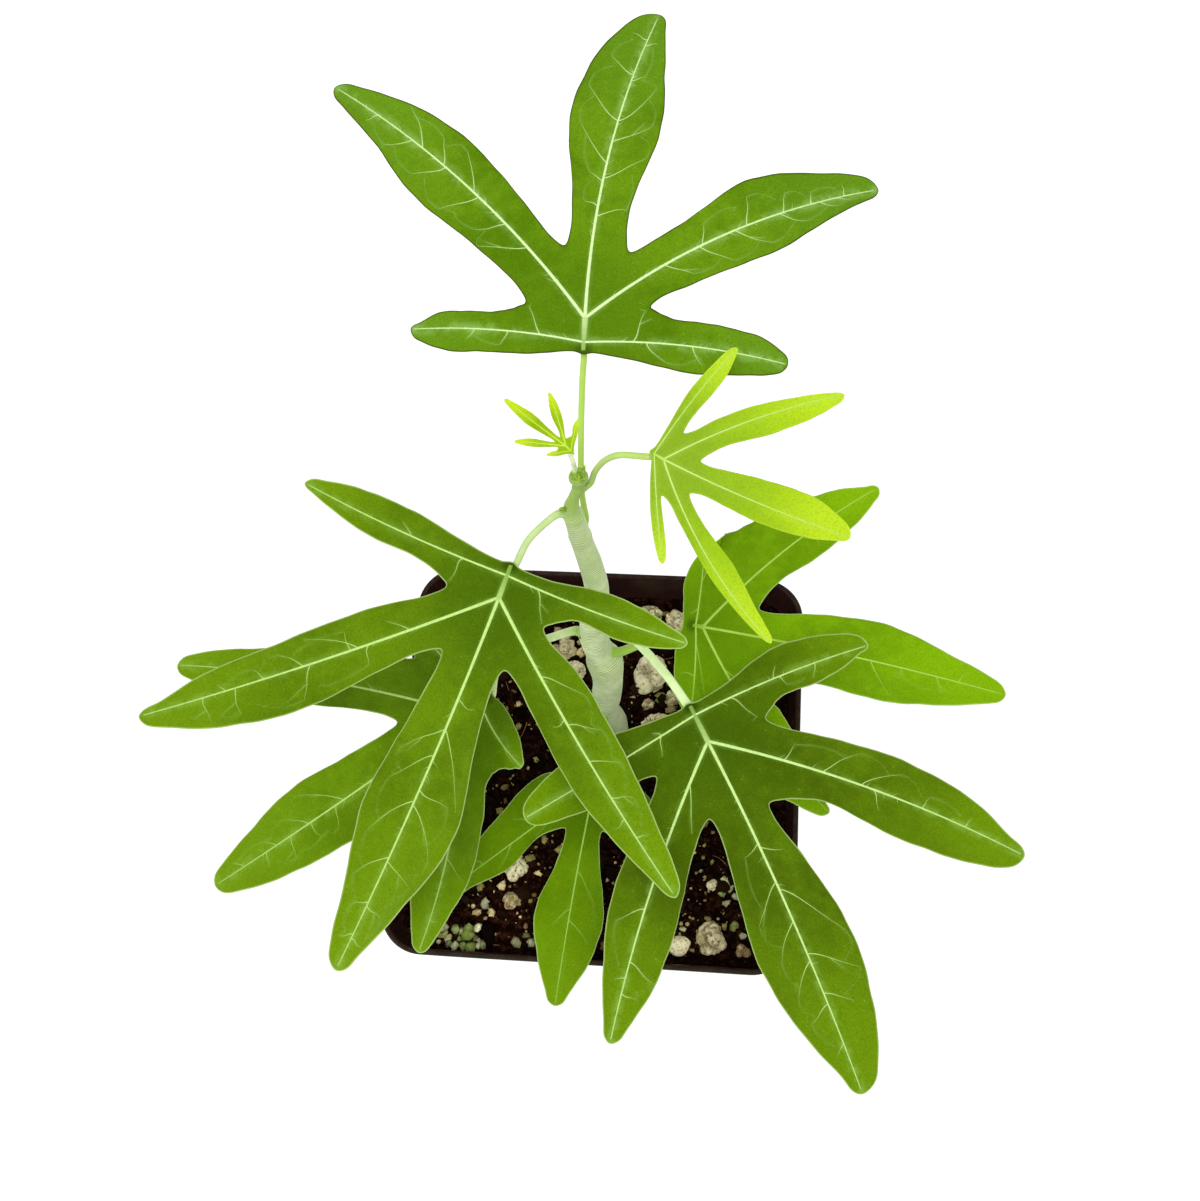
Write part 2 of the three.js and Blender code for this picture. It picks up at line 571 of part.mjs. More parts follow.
function leafFrame(leaf) {
  const frame = new THREE.Matrix4().makeRotationZ(rad(leaf.head));
  frame.multiply(new THREE.Matrix4().makeRotationY(rad(-leaf.pitch)));
  frame.multiply(new THREE.Matrix4().makeRotationX(rad(leaf.roll)));
  return frame.setPosition(...leaf.joint);
}

// The last of a stalk's route: a bend from the way that it comes to straight up, which ends just under the
// blade's joint. The bend is rounder than the stalk is thick.
function bendUnder(leaf, from, radius) {
  const bend = STALK_BEND * radius;
  const frame = leafFrame(leaf);
  const end = vec(0, 0, -BLADE - GAP).applyMatrix4(frame);
  const up = vec(0, 0, 1).transformDirection(frame);
  const level = from.clone().sub(end);
  const whole = Math.min(Math.PI / 2, Math.PI - level.angleTo(up));
  level.addScaledVector(up, -level.dot(up)).normalize();
  const steps = Math.max(1, Math.round(whole / rad(30)));
  const points = Array.from({ length: steps + 1 }, (_, i) => {
    const turn = whole * (1 - i / steps);
    return end.clone()
      .addScaledVector(level, bend * (1 - Math.cos(turn)))
      .addScaledVector(up, -bend * Math.sin(turn) - STALK_END);
  });
  return [...points, end];
}

// A leaf stalk from a seat on the stem, along its route, to just under the blade's joint
function stalkGeometry(leaf) {
  const { z, way, rise = 0, radius, via } = leaf.stalk;
  const route = via.map(([x, y, h]) => vec(x, y, h));
  const seat = [];
  if (way === undefined) {
    seat.push(vec(via[0][0], via[0][1], z + GAP));
  } else {
    const { centre, radius: stemRadius } = stemAt(z);
    const out = vec(Math.cos(rad(way)), Math.sin(rad(way)), 0);
    const foot = centre.clone().addScaledVector(out, stemRadius + GAP + radius * Math.sin(rad(rise)));
    const heading = out.clone().multiplyScalar(Math.cos(rad(rise))).setZ(Math.sin(rad(rise)));
    seat.push(foot, foot.clone().addScaledVector(heading, SEAT_RUN));
  }
  const points = [...seat, ...route, ...bendUnder(leaf, route[route.length - 1], radius)];
  const radii = points.map(() => radius);
  radii[0] = radius * 1.35;
  radii[radii.length - 1] = radius * 1.25;
  return tubeAlong(points, radii, 8, 2 * (points.length - 1));
}

function leaves() {
  for (const leaf of LEAVES) {
    const young = leaf.name === "leaf_young" || leaf.name === "leaf_tiny";
    const blade = place(`${leaf.name}_blade`, bladeGeometry(leaf), young ? YOUNG_GREEN : LEAF_GREEN);
    blade.applyMatrix4(leafFrame(leaf));
    place(`${leaf.name}_stalk`, stalkGeometry(leaf), STALK_GREEN);
  }
}

// Pumice stones: place, length, breadth and height, and how far they turn
const STONES = [
  [7.9, 37.6, 8, 4.4, 4.8, 5], [15.5, 37, 4.4, 5.2, 4, 60], [-10.5, 28.6, 5.4, 5, 4.5, 20],
  [-7.6, 23.2, 4.6, 5.2, 4, 75], [10.4, 22.6, 8, 9, 7.4, -15], [16, 17.4, 4.8, 4.2, 4, 0],
  [9.9, 15.8, 3.4, 2.6, 2.6, 30], [12.4, 11.6, 7, 3.8, 3.6, 5], [-17.3, -23.6, 5, 6.6, 5, -12],
  [-17.3, -30.6, 4.2, 3.6, 3.4, 15], [19.9, -38.2, 4.6, 4, 3.6, 20], [26.9, -36.2, 6.6, 7, 5.6, 0],
  [26.8, -24.6, 3.2, 2.4, 2.4, 10], [33.8, -38.4, 3.2, 3.2, 3, 40],
];
const STONE_RISE = 0.12; // how far a stone's middle lies over the soil, of its height

function stone([x, y, long, broad, high, turn], seed, grow) {
  const random = dice(seed);
  const body = mergeVertices(bareBall(), 1e-3);
  const position = body.getAttribute("position");
  for (let i = 0; i < position.count; i++) {
    const swell = 0.84 + 0.32 * random();
    position.setXYZ(i, position.getX(i) * swell, position.getY(i) * swell, position.getZ(i) * swell);
  }
  body.scale(long / 2 + grow, broad / 2 + grow, high / 2 + grow);
  body.rotateZ(rad(turn));
  return body.translate(x, y, SOIL_TOP + STONE_RISE * high);
}

function bareBall() {
  const ball = new THREE.IcosahedronGeometry(1, 1);
  ball.deleteAttribute("normal");
  ball.deleteAttribute("uv");
  return ball;
}

function stones() {
  STONES.forEach((spec, i) => {
    const name = `pumice_${String(i + 1).padStart(2, "0")}`;
    place(name, stone(spec, i + 1, 0), PUMICE_CREAM);
  });
}

// Soil: fills the pot's inside, with a crumbly top, a plain hole for the stem and a socket for each stone
const SOIL_RINGS = 10;
const SOIL_SIDES = 56;
const CRUMB = 1.1; // height of the crumbs in the soil's top

// A rounded square of evenly spaced points
function evenSquare(half, corner, z, lift = () => 0) {
  const shape = new THREE.Shape();
  const flat = half - corner;
  for (let quarter = 0; quarter < 4; quarter++) {
    const turn = (quarter * Math.PI) / 2;
    const sx = quarter === 0 || quarter === 3 ? 1 : -1;
    const sy = quarter < 2 ? 1 : -1;
    shape.absarc(sx * flat, sy * flat, corner, turn, turn + Math.PI / 2, false);
  }
  shape.closePath();
  return shape.getSpacedPoints(SOIL_SIDES).slice(0, SOIL_SIDES).map(({ x, y }) => vec(x, y, z + lift(x, y)));
}

function soil() {
  const random = dice(77);
  const inset = POT_WALL + GAP;
  const crumbs = (x, y) => CRUMB * (random() - 0.5) + 0.5 * Math.sin(x / 9) * Math.cos(y / 11);
  const ring = (z, lift) => evenSquare(wallAt(z).half - inset, wallAt(z).corner - 1, z, lift);
  const edge = wallAt(SOIL_TOP);
  const full = 4; // height from which the soil reaches the wall
  const rings = [
    evenSquare(wallAt(full).half - inset - 2, FOOT_CORNER - 3, full - 2),
    ring(full),
    ring(SOIL_TOP / 2),
    ring(SOIL_TOP - 2),
    ring(SOIL_TOP - 0.6),
  ];
  for (let i = SOIL_RINGS - 1; i > 0; i--) {
    const share = i / SOIL_RINGS;
    const half = (edge.half - inset) * share;
    rings.push(evenSquare(half, Math.min(half, edge.corner), SOIL_TOP, crumbs));
  }
  let solid = toManifold(skin(rings));
  const depth = SOIL_TOP - ROOT_FOOT[2] + GAP;
  const bore = Math.max(...STEM.slice(0, 3).map((station) => station[3])) + 2 * GAP;
  const drill = new THREE.CylinderGeometry(bore, bore, depth + 20, 16).rotateX(Math.PI / 2);
  drill.translate(SOIL_LINE[0], SOIL_LINE[1], ROOT_FOOT[2] - GAP + (depth + 20) / 2);
  solid = solid.subtract(toManifold(drill));
  STONES.forEach((spec, i) => {
    solid = solid.subtract(toManifold(stone(spec, i + 1, GAP)));
  });
  place("soil", fromManifold(solid), SOIL_BROWN);
}

pot();
soil();
stones();
stem();
shootTip();
leaves();

export default plant;
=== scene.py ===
# A young adenia venenata in a square nursery pot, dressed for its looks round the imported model.
# Tables are in millimetres, +Z up, +X to the right and +Y to the back, as in the part's own source.
import bpy
import numpy as np
from mathutils import Matrix


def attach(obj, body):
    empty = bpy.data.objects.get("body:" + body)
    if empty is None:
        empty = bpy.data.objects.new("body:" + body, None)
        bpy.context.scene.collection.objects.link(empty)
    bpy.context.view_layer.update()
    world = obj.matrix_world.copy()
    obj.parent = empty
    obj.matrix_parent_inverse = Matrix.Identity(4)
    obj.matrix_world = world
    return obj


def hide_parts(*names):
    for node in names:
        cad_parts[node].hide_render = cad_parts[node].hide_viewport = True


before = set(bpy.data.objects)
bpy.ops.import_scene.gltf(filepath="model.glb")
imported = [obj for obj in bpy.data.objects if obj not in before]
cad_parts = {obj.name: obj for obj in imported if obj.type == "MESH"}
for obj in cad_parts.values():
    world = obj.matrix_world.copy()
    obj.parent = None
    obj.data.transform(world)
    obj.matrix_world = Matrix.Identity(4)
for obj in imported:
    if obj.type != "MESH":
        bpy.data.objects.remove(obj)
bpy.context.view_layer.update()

MM = 0.001
POT_RIM = 89
POT_FOOT = 64
POT_HEIGHT = 83
POT_WALL = 1.2
RIM_CORNER = 9.5
FOOT_CORNER = 7
LIP_HEIGHT = 10
LIP_STEP = 1.5
DRAIN_HOLE = 8
LEDGE = POT_HEIGHT - LIP_HEIGHT + LIP_STEP * 0.6  # where the lip's inner face starts
SOIL_TOP = POT_HEIGHT - 10
BLADE = 0.65  # thickness of the solid blade, whose upper face the fine one keeps
GAP = 0.3  # between the solids
MERGE = 0.001  # points that round to the same multiple of this are one
TINY = 1e-9  # keeps a division off zero
UP = np.array([0, 0, 1.0])


# Mesh pieces

def new_piece(name, points, faces, material, stands_for=(), marks=None, rounded=True):
    """A mesh piece that rides on the plant, from points in millimetres and arrays of faces. All faces of
    one array have the same number of corners."""
    mesh = bpy.data.meshes.new(name)
    faces = [np.asarray(part) for part in faces]
    corners = np.concatenate([part.ravel() for part in faces])
    counts = np.concatenate([np.full(len(part), part.shape[1]) for part in faces])
    mesh.vertices.add(len(points))
    mesh.vertices.foreach_set("co", (np.asarray(points) * MM).ravel())
    mesh.loops.add(len(corners))
    mesh.loops.foreach_set("vertex_index", corners.astype(np.int32))
    mesh.polygons.add(len(counts))
    mesh.polygons.foreach_set("loop_start", (np.cumsum(counts) - counts).astype(np.int32))
    mesh.update(calc_edges=True)
    if rounded:
        mesh.shade_smooth()
    for label, values in (marks or {}).items():
        layer = mesh.attributes.new(label, "FLOAT", "POINT")
        layer.data.foreach_set("value", np.asarray(values, np.float32))
    mesh.materials.append(material)
    piece = bpy.data.objects.new(name, mesh)
    bpy.context.collection.objects.link(piece)
    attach(piece, "root")
    if stands_for:
        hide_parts(*stands_for)
    return piece


def grid_faces(rows, columns, close=False):
    """Quads between neighbouring rows and columns of a grid of points. With close, the last column joins
    the first."""
    i = np.arange(rows - 1)[:, None] * columns
    j = np.arange(columns if close else columns - 1)
    k = (j + 1) % columns
    return np.stack([i + j, i + k, i + columns + k, i + columns + j], axis=-1).reshape(-1, 4)


def ring_skin(rings):
    """A closed skin over rings of equal count (ring, point, xyz), with a fan over each end ring."""
    count, sides = rings.shape[:2]
    points = np.vstack([rings.reshape(-1, 3), rings[0].mean(axis=0), rings[-1].mean(axis=0)])
    here = np.arange(sides)
    after = (here + 1) % sides
    last = (count - 1) * sides
    foot = np.stack([np.full(sides, count * sides), after, here], axis=-1)
    top = np.stack([np.full(sides, count * sides + 1), last + here, last + after], axis=-1)
    return points, [grid_faces(count, sides, close=True), foot, top]


def tube(path, radii, aside, sides):
    """Rings round a path: at each point a circle square to the way that the path heads, with its first
    point towards aside."""
    along = np.gradient(path, axis=0)
    along /= np.linalg.norm(along, axis=1, keepdims=True)
    across = aside - along * (along @ aside)[:, None]
    across /= np.linalg.norm(across, axis=1, keepdims=True)
    third = np.cross(along, across)
    turn = 2 * np.pi * np.arange(sides) / sides
    radii = np.asarray(radii)[:, None, None]
    circle = across[:, None] * np.cos(turn)[:, None] + third[:, None] * np.sin(turn)[:, None]
    return path[:, None] + radii * circle


def through(points, places, closed=False):
    """A curve through points, read at places counted in spans. Each span is a cubic whose end slopes weigh
    the neighbouring chords by the square roots of their lengths."""
    points = np.asarray(points, float)
    places = np.atleast_1d(places)
    count = len(points)
    spans = count if closed else count - 1
    low = np.clip(np.floor(places).astype(int), 0, spans - 1)
    f = (places - low)[:, None]
    if closed:
        p = [points[(low + k) % count] for k in (-1, 0, 1, 2)]
    else:
        ends = np.vstack([2 * points[0] - points[1], points, 2 * points[-1] - points[-2]])
        p = [ends[low + k] for k in range(4)]
    gap = [np.sqrt(np.linalg.norm(b - a, axis=1))[:, None] for a, b in zip(p, p[1:])]
    slope = [(b - a) / g for a, b, g in zip(p, p[1:], gap)]
    out = gap[1] * (slope[0] - (p[2] - p[0]) / (gap[0] + gap[1]) + slope[1])
    into = gap[1] * (slope[1] - (p[3] - p[1]) / (gap[1] + gap[2]) + slope[2])
    cubic = 2 * (p[1] - p[2]) + out + into
    square = 3 * (p[2] - p[1]) - 2 * out - into
    return p[1] + f * (out + f * (square + f * cubic))


def smooth(x):
    """The S-shaped step from 0 to 1."""
    x = np.clip(x, 0, 1)
    return x * x * (3 - 2 * x)


def eased(values, places):
    """Values at whole places, joined by S-shaped steps and read at places."""
    values = np.asarray(values, float)
    low = np.clip(np.floor(places).astype(int), 0, len(values) - 2)
    return values[low] + (values[low + 1] - values[low]) * smooth(places - low)


def lattice_noise(points, size, seed):
    """Smooth noise from -1 to 1: seeded random numbers at the corners of a lattice of that size, blended by
    S-shaped steps."""
    points = np.asarray(points, float) / size
    cells = 64
    table = np.random.default_rng(seed).uniform(-1, 1, (cells,) * points.shape[-1])
    low = np.floor(points).astype(int)
    f = points - low
    f = f * f * (3 - 2 * f)
    total = 0
    for corner in np.ndindex(*(2,) * points.shape[-1]):
        weight = np.prod(np.where(corner, f, 1 - f), axis=-1)
        place = (low + corner) % cells
        total = total + weight * table[tuple(np.moveaxis(place, -1, 0))]
    return total


def unit(v):
    return v / np.linalg.norm(v)


# Leaves: the part's own table. A lobe holds its turn, length and bow, and its left and right half widths.

LEAVES = {
    "leaf_rear": dict(
        joint=(3.4, 35.9, 198), head=91, pitch=5, roll=0, droop=5, lift=(0, 2, 0, -2, 0), fork=5.5,
        split=1.4, back=(-0.6, 0), notches=((74, 10), (17, 13.5), (-29, 13.5), (-78, 10.5)),
        lobes=(
            (78, 28, 14, (3, 4, 4, 2.5), (3, 3, 2.5, 1)),
            (36, 63.5, 19, (6, 7.5, 4.5, 2.5), (4.5, 6, 4.5, 2.5)),
            (0, 60.5, -18, (4.5, 8, 7, 4.5), (5.5, 7.5, 5, 2.5)),
            (-48, 53.5, -25, (4.5, 7, 5.5, 3.5), (5.5, 6.5, 4, 2)),
            (-87, 32, -16, (4, 4, 3.5, 2), (3, 4.5, 4, 2.5)),
        ),
        stalk=dict(
            z=174, way=75, radius=0.5, flare=1.9,
            via=((2.8, 20.6, 180), (2.9, 27.2, 188), (3.1, 33, 193.3))),
    ),
    "leaf_front_left": dict(
        joint=(-7.6, 6.6, 180), head=-106, pitch=-8, roll=0, droop=6, lift=(0, -2, -3, 1, 0), fork=5.6,
        split=1.8, back=(-0.6, 0.2), notches=((74, 9), (24, 12), (-29, 12.5), (-85, 9)),
        lobes=(
            (83, 31, 9, (2, 3.5, 3, 1.5), (2.5, 3, 2.5, 1.5)),
            (46, 54.5, 7, (5.5, 5.5, 4, 2.5), (4, 4.5, 3, 1.5)),
            (-1, 64.5, -10, (5.5, 8.5, 5.5, 2.5), (6, 7.5, 5, 3)),
            (-51, 64, -8, (5, 7, 5.5, 3), (5.5, 5, 4, 1.5)),
            (-93, 39.5, -9, (3, 3, 2, 1), (2.5, 4, 3.5, 2)),
        ),
        stalk=dict(z=181.5, way=190, radius=0.6, via=((-3.1, 13.5, 180.3), (-5.4, 11.1, 179.3))),
    ),
    "leaf_front_right": dict(
        joint=(21.6, -6.9, 151), head=-61, pitch=-7, roll=0, droop=7, lift=(2, 0, -3, -1, 0), fork=6.9,
        split=1.8, back=(-0.6, -0.3), notches=((86, 11), (19, 15), (-25, 13.5), (-81, 11)),
        lobes=(
            (92, 33.5, -10, (2.5, 5, 4.5, 3), (3.5, 3.5, 2.5, 1)),
            (52, 58.5, -13, (6, 6.5, 5, 2), (5, 6.5, 6, 4)),
            (1, 64.5, -5, (6, 8.5, 7, 4.5), (6.5, 8.5, 6, 2.5)),
            (-50, 53.5, 12, (5, 6, 5, 2.5), (5.5, 6, 4, 2)),
            (-83, 34.5, -3, (4.5, 4.5, 3.5, 2.5), (3, 5, 4.5, 3)),
        ),
        stalk=dict(z=141, way=-15, radius=0.8, via=((11.7, 6.1, 144.5), (17.3, -0.6, 147))),
    ),
    "leaf_low_left": dict(
        joint=(-17.4, -1.9, 133), head=-142, pitch=-6, roll=0, droop=5, lift=(-6, 0, -2, 1, 0), fork=5,
        split=1.5, back=(-1.5, -0.8), notches=((77, 13.5), (25, 12.5), (-29, 13.5), (-82, 15.5)),
        lobes=(
            (76, 15, 25, (4, 4, 3, 1.5), (2.5, 2, 1)),
            (56, 45, -22, (5.5, 5.5, 3.5, 2), (6.5, 6, 4.5, 2.5)),
            (1, 59, -8, (8, 7.5, 6, 3.5), (6.5, 7.5, 5.5, 3)),
            (-52, 62.5, 11, (4.5, 5.5, 5, 3), (7.5, 5.5, 4, 2.5)),
            (-88, 22.5, 12, (3.5, 3, 2.5, 1.5), (3.5, 3.5, 3, 2.5)),
        ),
        stalk=dict(
            z=132, way=170, radius=0.8, via=((-5.5, 10.4, 134.5), (-10.8, 8, 134.3), (-16.2, 4, 132))),
    ),
    "leaf_low_front": dict(
        joint=(2.9, -3, 101), head=-103, pitch=-2, roll=0, droop=4, lift=(0, 0, 0, 0, 0), fork=6.5,
        split=1, back=(-1.5, 0), notches=((102, 6.5), (25, 10.5), (-16, 11.5), (-114, 6)),
        lobes=(
            (124, 14.5, -15, (2, 2.5, 2, 1), (5, 3.5, 2.5, 1)),
            (57, 24.5, 8, (6, 5, 3, 1.5), (5, 4, 3, 2)),
            (5, 45.5, 3, (4.5, 7, 5.5, 2.5), (4.5, 7, 5, 2.5)),
            (-37, 40, -1, (2.5, 4, 2.5, 2), (8, 6, 4, 2)),
            (-116, 11, 30, (3, 2.5, 2, 0.5), (2, 1.5, 1.5, 1)),
        ),
        stalk=dict(z=93.5, way=-95, radius=0.7, via=((2.2, 2.5, 96.5),)),
    ),
    "leaf_right_rear": dict(
        joint=(20.6, 18.1, 123), head=-7, pitch=-2, roll=0, droop=4, lift=(0, 2, -1, 0, 0), fork=2,
        split=0.6, back=(-2.3, -2), notches=((86, 21), (29, 12), (-38, 18.5), (-77, 20.5)),
        lobes=(
            (91, 17, 5, (3, 3.5, 2.5, 1), ()),
            (59, 48, -17, (8.5, 6.5, 4, 1.5), (4.5, 5.5, 4.5, 2.5)),
            (0, 61, -3, (6.5, 8, 5, 3), (7.5, 8, 5.5, 3)),
            (-57, 44, 20, (5, 4, 2.5, 1), (8, 7.5, 4.5, 2.5)),
            (-79, 20, -10, (), (4, 4, 3, 1)),
        ),
        stalk=dict(z=124.6, way=-5, radius=0.85, via=((9.8, 12.6, 125), (14.6, 15.6, 123.4))),
    ),
    "leaf_young": dict(
        joint=(15.6, 16, 203), head=-28, pitch=-6, roll=8, droop=3, lift=(0, 1, -1, -2, 0), fork=1.8,
        split=0.2, back=(-0.6, 0), notches=((84, 5), (28, 5.5), (-22, 6.5), (-61, 5.5)),
        lobes=(
            (89, 20.5, -9, (0.6, 1.2, 1.1, 0.8), (1.6, 1.8, 1.6, 0.8)),
            (60, 28.5, -17, (2, 1.8, 1.2, 0.7), (2.4, 3, 2.6, 1.4)),
            (3, 29.5, 10, (2.6, 3.8, 3.6, 2.2), (2.4, 2.8, 2.2, 1.2)),
            (-42, 31.5, 26, (1.8, 2.6, 1.8, 1), (1.2, 1.2, 0.9, 0.6)),
            (-57, 16.5, 5, (0.7, 0.8, 0.8, 0.6), (0.7, 1, 0.9, 0.6)),
        ),
        stalk=dict(
            z=189.6, way=15, rise=62, radius=0.5,
            via=((6.4, 17.1, 194.2), (8.4, 16.8, 198.8), (10.6, 16.5, 201))),
    ),
    "leaf_tiny": dict(
        joint=(3.2, 17.3, 200), head=142, pitch=22, roll=0, droop=0, lift=(0, 0, 0, 0, 0), fork=1.2,
        split=0.2, back=(-0.6, 0), notches=((56, 1.2), (24, 1.8), (-12, 1.6), (-48, 1.2)),
        lobes=(
            (52, 3.8, 6, (0.4, 0.5, 0.4, 0.2), (0.3, 0.3, 0.2, 0.1)),
            (39, 7.8, 3, (0.4, 0.6, 0.5, 0.3), (0.4, 0.6, 0.5, 0.3)),
            (9, 11.5, -3, (0.6, 0.9, 0.7, 0.4), (0.6, 0.9, 0.7, 0.4)),
            (-31, 8.5, 4, (0.5, 0.8, 0.6, 0.3), (0.5, 0.7, 0.6, 0.3)),
            (-56, 5, -8, (0.3, 0.4, 0.4, 0.2), (0.4, 0.5, 0.4, 0.2)),
        ),
        stalk=dict(z=193, way=None, radius=0.4, via=((3, 17.7, 194.6), (3, 17.6, 196.5))),
    ),
}

YOUNG = ("leaf_young", "leaf_tiny")
STATIONS = np.array([0.2, 0.5, 0.75, 0.92])  # where the half widths are, from a lobe's notch to its tip
REACH = 60  # from the fork, where a leaf has its full droop
CROWD = 1.3  # how much the cross rows crowd towards the notch
NOTCH_SHARE = 0.25  # where a point rounds the notch, of the way to the first station
NOTCH_ROUND = 0.06  # and how far inwards it lies, of that way
TIP_SHARE = 0.25  # how far before the tip the last point is, of the last station's distance
TIP_WIDE = 0.58  # and its half width, of the last station's
CUP = 0.1  # how far a margin rises over its midrib, of the half width
WAVE = 0.35  # and by how much that rises and falls
RIPPLE = 0.008  # how far the margin's outline wanders, of the half width
RIPPLE_WAVES = (34, 61)  # radians of its two sines over a midrib
LIFT_SPREAD = np.radians(25)  # how far to both sides a lobe's lift is felt
ALONG = 72  # cells along a lobe, where the solid has 10
ACROSS = 12  # cells from a midrib to the margin, where the solid has 2
LEAF_THICK = 0.42  # the fine blade at its midribs
EDGE_THICK = 0.2  # and at its margin
EDGE_RUN = 1.5  # from the margin to where the blade has its thickness


def polar(angle, reach):
    return np.stack([np.cos(angle) * reach, np.sin(angle) * reach], axis=-1)


def lobe_root(leaf, k):
    return np.array([leaf["split"] if k in (0, 4) else leaf["fork"], 0.0])


def on_midrib(leaf, k, f):
    """Points and headings on a midrib: an arc from the lobe's root whose heading, start + bow * f, turns by
    its bow over its length."""
    turn, long, bow = leaf["lobes"][k][:3]
    start, bow = np.radians(turn), np.radians(bow)
    heading = start + bow * f
    if bow == 0:
        return lobe_root(leaf, k) + polar(start, long * f), heading
    radius = long / bow
    spot = np.stack([np.sin(heading) - np.sin(start), np.cos(start) - np.cos(heading)], axis=-1)
    return lobe_root(leaf, k) + radius * spot, heading


def nearest_fraction(leaf, k, point):
    """The fraction of a midrib whose point is nearest to the given one."""
    steps = 200
    tries = np.arange(steps + 1) / steps
    return tries[np.linalg.norm(on_midrib(leaf, k, tries)[0] - point, axis=1).argmin()]


def lobe_side(leaf, k, notch, widths, side):
    """One side of a lobe from notch to tip: its midrib fractions, and the margin points square to the
    midrib at them."""
    start = nearest_fraction(leaf, k, notch)
    share = STATIONS[:len(widths)]
    if widths:
        share = np.append(share, 1 - TIP_SHARE * (1 - share[-1]))
        widths = (*widths, TIP_WIDE * widths[-1])
    f = start + (1 - start) * share
    rib, heading = on_midrib(leaf, k, f)
    stations = rib + polar(heading + side * np.pi / 2, np.array(widths, float))
    points = np.vstack([notch, stations, on_midrib(leaf, k, np.array(1.0))[0]])
    f = np.concatenate([[start], f, [1]])
    way = points[1] - notch
    inward = polar(np.arctan2(way[1], way[0]) - side * np.pi / 2, NOTCH_ROUND * np.linalg.norm(way))
    f = np.insert(f, 1, start + (f[1] - start) * NOTCH_SHARE)
    return f, np.insert(points, 1, notch + NOTCH_SHARE * way + inward, axis=0)


def outline(leaf):
    """The blade's outline: a closed curve through every notch, station and tip. It returns a function that
    reads one lobe side at shares from its notch, 0, to its tip, 1, and gives midrib fractions and
    points."""
    fork = np.array([leaf["fork"], 0.0])
    notches = [fork + polar(np.radians(angle), reach) for angle, reach in leaf["notches"]]
    corners = [np.array(leaf["back"], float), *notches, np.array(leaf["back"], float)]
    sides = []
    for k, (_, _, _, left, right) in enumerate(leaf["lobes"]):
        sides += [lobe_side(leaf, k, corners[k], left, 1), lobe_side(leaf, k, corners[k + 1], right, -1)]
    order = [points[:-1] if k % 2 == 0 else points[:0:-1] for k, (_, points) in enumerate(sides)]
    starts = np.cumsum([0] + [len(part) for part in order])
    ring = np.vstack(order)

    def read(k, share):
        f = sides[k][0]
        spans = len(f) - 1
        step = share * spans
        place = starts[k] + (step if k % 2 == 0 else spans - step)
        return np.interp(step, np.arange(spans + 1), f), through(ring, place % len(ring), closed=True)

    return read


def sag(leaf, spot):
    """Height over the leaf's plane: (x * x + y * y) / REACH ** 2 times a rise, with x and y from the fork.
    The rise is the sum of the lobes' lifts, each fading with the turn away from its tip, less the droop."""
    x, y = spot[..., 0] - leaf["fork"], spot[..., 1]
    rise = -float(leaf["droop"])
    for k, lift in enumerate(leaf["lift"]):
        tip = on_midrib(leaf, k, np.array(1.0))[0]
        apart = np.arctan2(y, x) - np.arctan2(tip[1], tip[0] - leaf["fork"])
        short = np.arctan2(np.sin(apart), np.cos(apart))
        rise = rise + lift * np.exp(-((short / LIFT_SPREAD) ** 2))
    return (x * x + y * y) / REACH ** 2 * rise


def margin(leaf, k, i, read):
    """One lobe side: the midrib fraction and the margin point of each cross row, and how free the margin is
    there, from 0 at the notch to 1 a third of the way on."""
    shared = (k, i) in ((0, 1), (4, 0))
    cells = ALONG + (ACROSS if k in (0, 4) and not shared else 0)
    share = (np.arange(cells + 1) / cells) ** CROWD
    f, rim = read(2 * k + i, share)
    first = f[0] * 0.5 if shared else 0
    f = f - (f[0] - first) * (1 - share) ** 2
    edge = smooth(3 * share)
    if shared:
        lead = np.arange(ACROSS)[:, None] / ACROSS
        fork = np.array([leaf["fork"], 0.0])
        rim = np.vstack([fork + (rim[0] - fork) * lead, rim])
        f = np.concatenate([first * lead[:, 0], f])
        edge = np.concatenate([np.zeros(ACROSS), edge])
    return f, rim, edge


def lobe_grid(leaf, k, read):
    """A lobe's upper face as points (side, row, column): each cross row runs from the midrib to the margin,
    which rises over the midrib by the cup, an even share of the half width, and by a wave. The margin
    wanders a little in and out by the sum of two sines."""
    (f0, rim0, edge0), (f1, rim1, edge1) = (margin(leaf, k, i, read) for i in (0, 1))
    f = (f0 + f1) / 2
    rim, edge = np.stack([rim0, rim1]), np.stack([edge0, edge1])
    rib = on_midrib(leaf, k, f)[0]
    start = leaf["head"] + 2 * k + 4 * np.arange(2)[:, None]
    slow, fast = RIPPLE_WAVES
    ripple = RIPPLE * (np.sin(slow * f + start) + 0.7 * np.sin(fast * f + 2 * start))
    rim = rib + (rim - rib) * (1 + edge * ripple)[..., None]
    across = np.linspace(0, 1, ACROSS + 1)
    flat = rib[:, None] + (rim - rib)[:, :, None] * across[:, None]
    half = np.linalg.norm(rim - rib, axis=-1)
    phase = 2.2 * f + 0.3 * k + 0.4 * np.arange(2)[:, None]
    wave = WAVE * np.sin(2 * np.pi * phase) * np.minimum(1, half / 5)
    height = sag(leaf, flat) + across ** 2 * (edge * (CUP * half + wave))[..., None]
    return {"points": np.concatenate([flat, height[..., None]], axis=-1), "f": f, "half": half}


def leaf_frame(leaf):
    """The leaf's plane in the pot's frame: turned by roll, pitch and heading, then moved to its joint."""
    turns = Matrix.Rotation(np.radians(leaf["head"]), 3, "Z")
    turns @= Matrix.Rotation(np.radians(-leaf["pitch"]), 3, "Y")
    turns @= Matrix.Rotation(np.radians(leaf["roll"]), 3, "X")
    return np.array(turns), np.array(leaf["joint"], float)


def to_pot(leaf, points):
    """Points of a leaf in the pot's frame."""
    turns, joint = leaf_frame(leaf)
    return points @ turns.T + joint


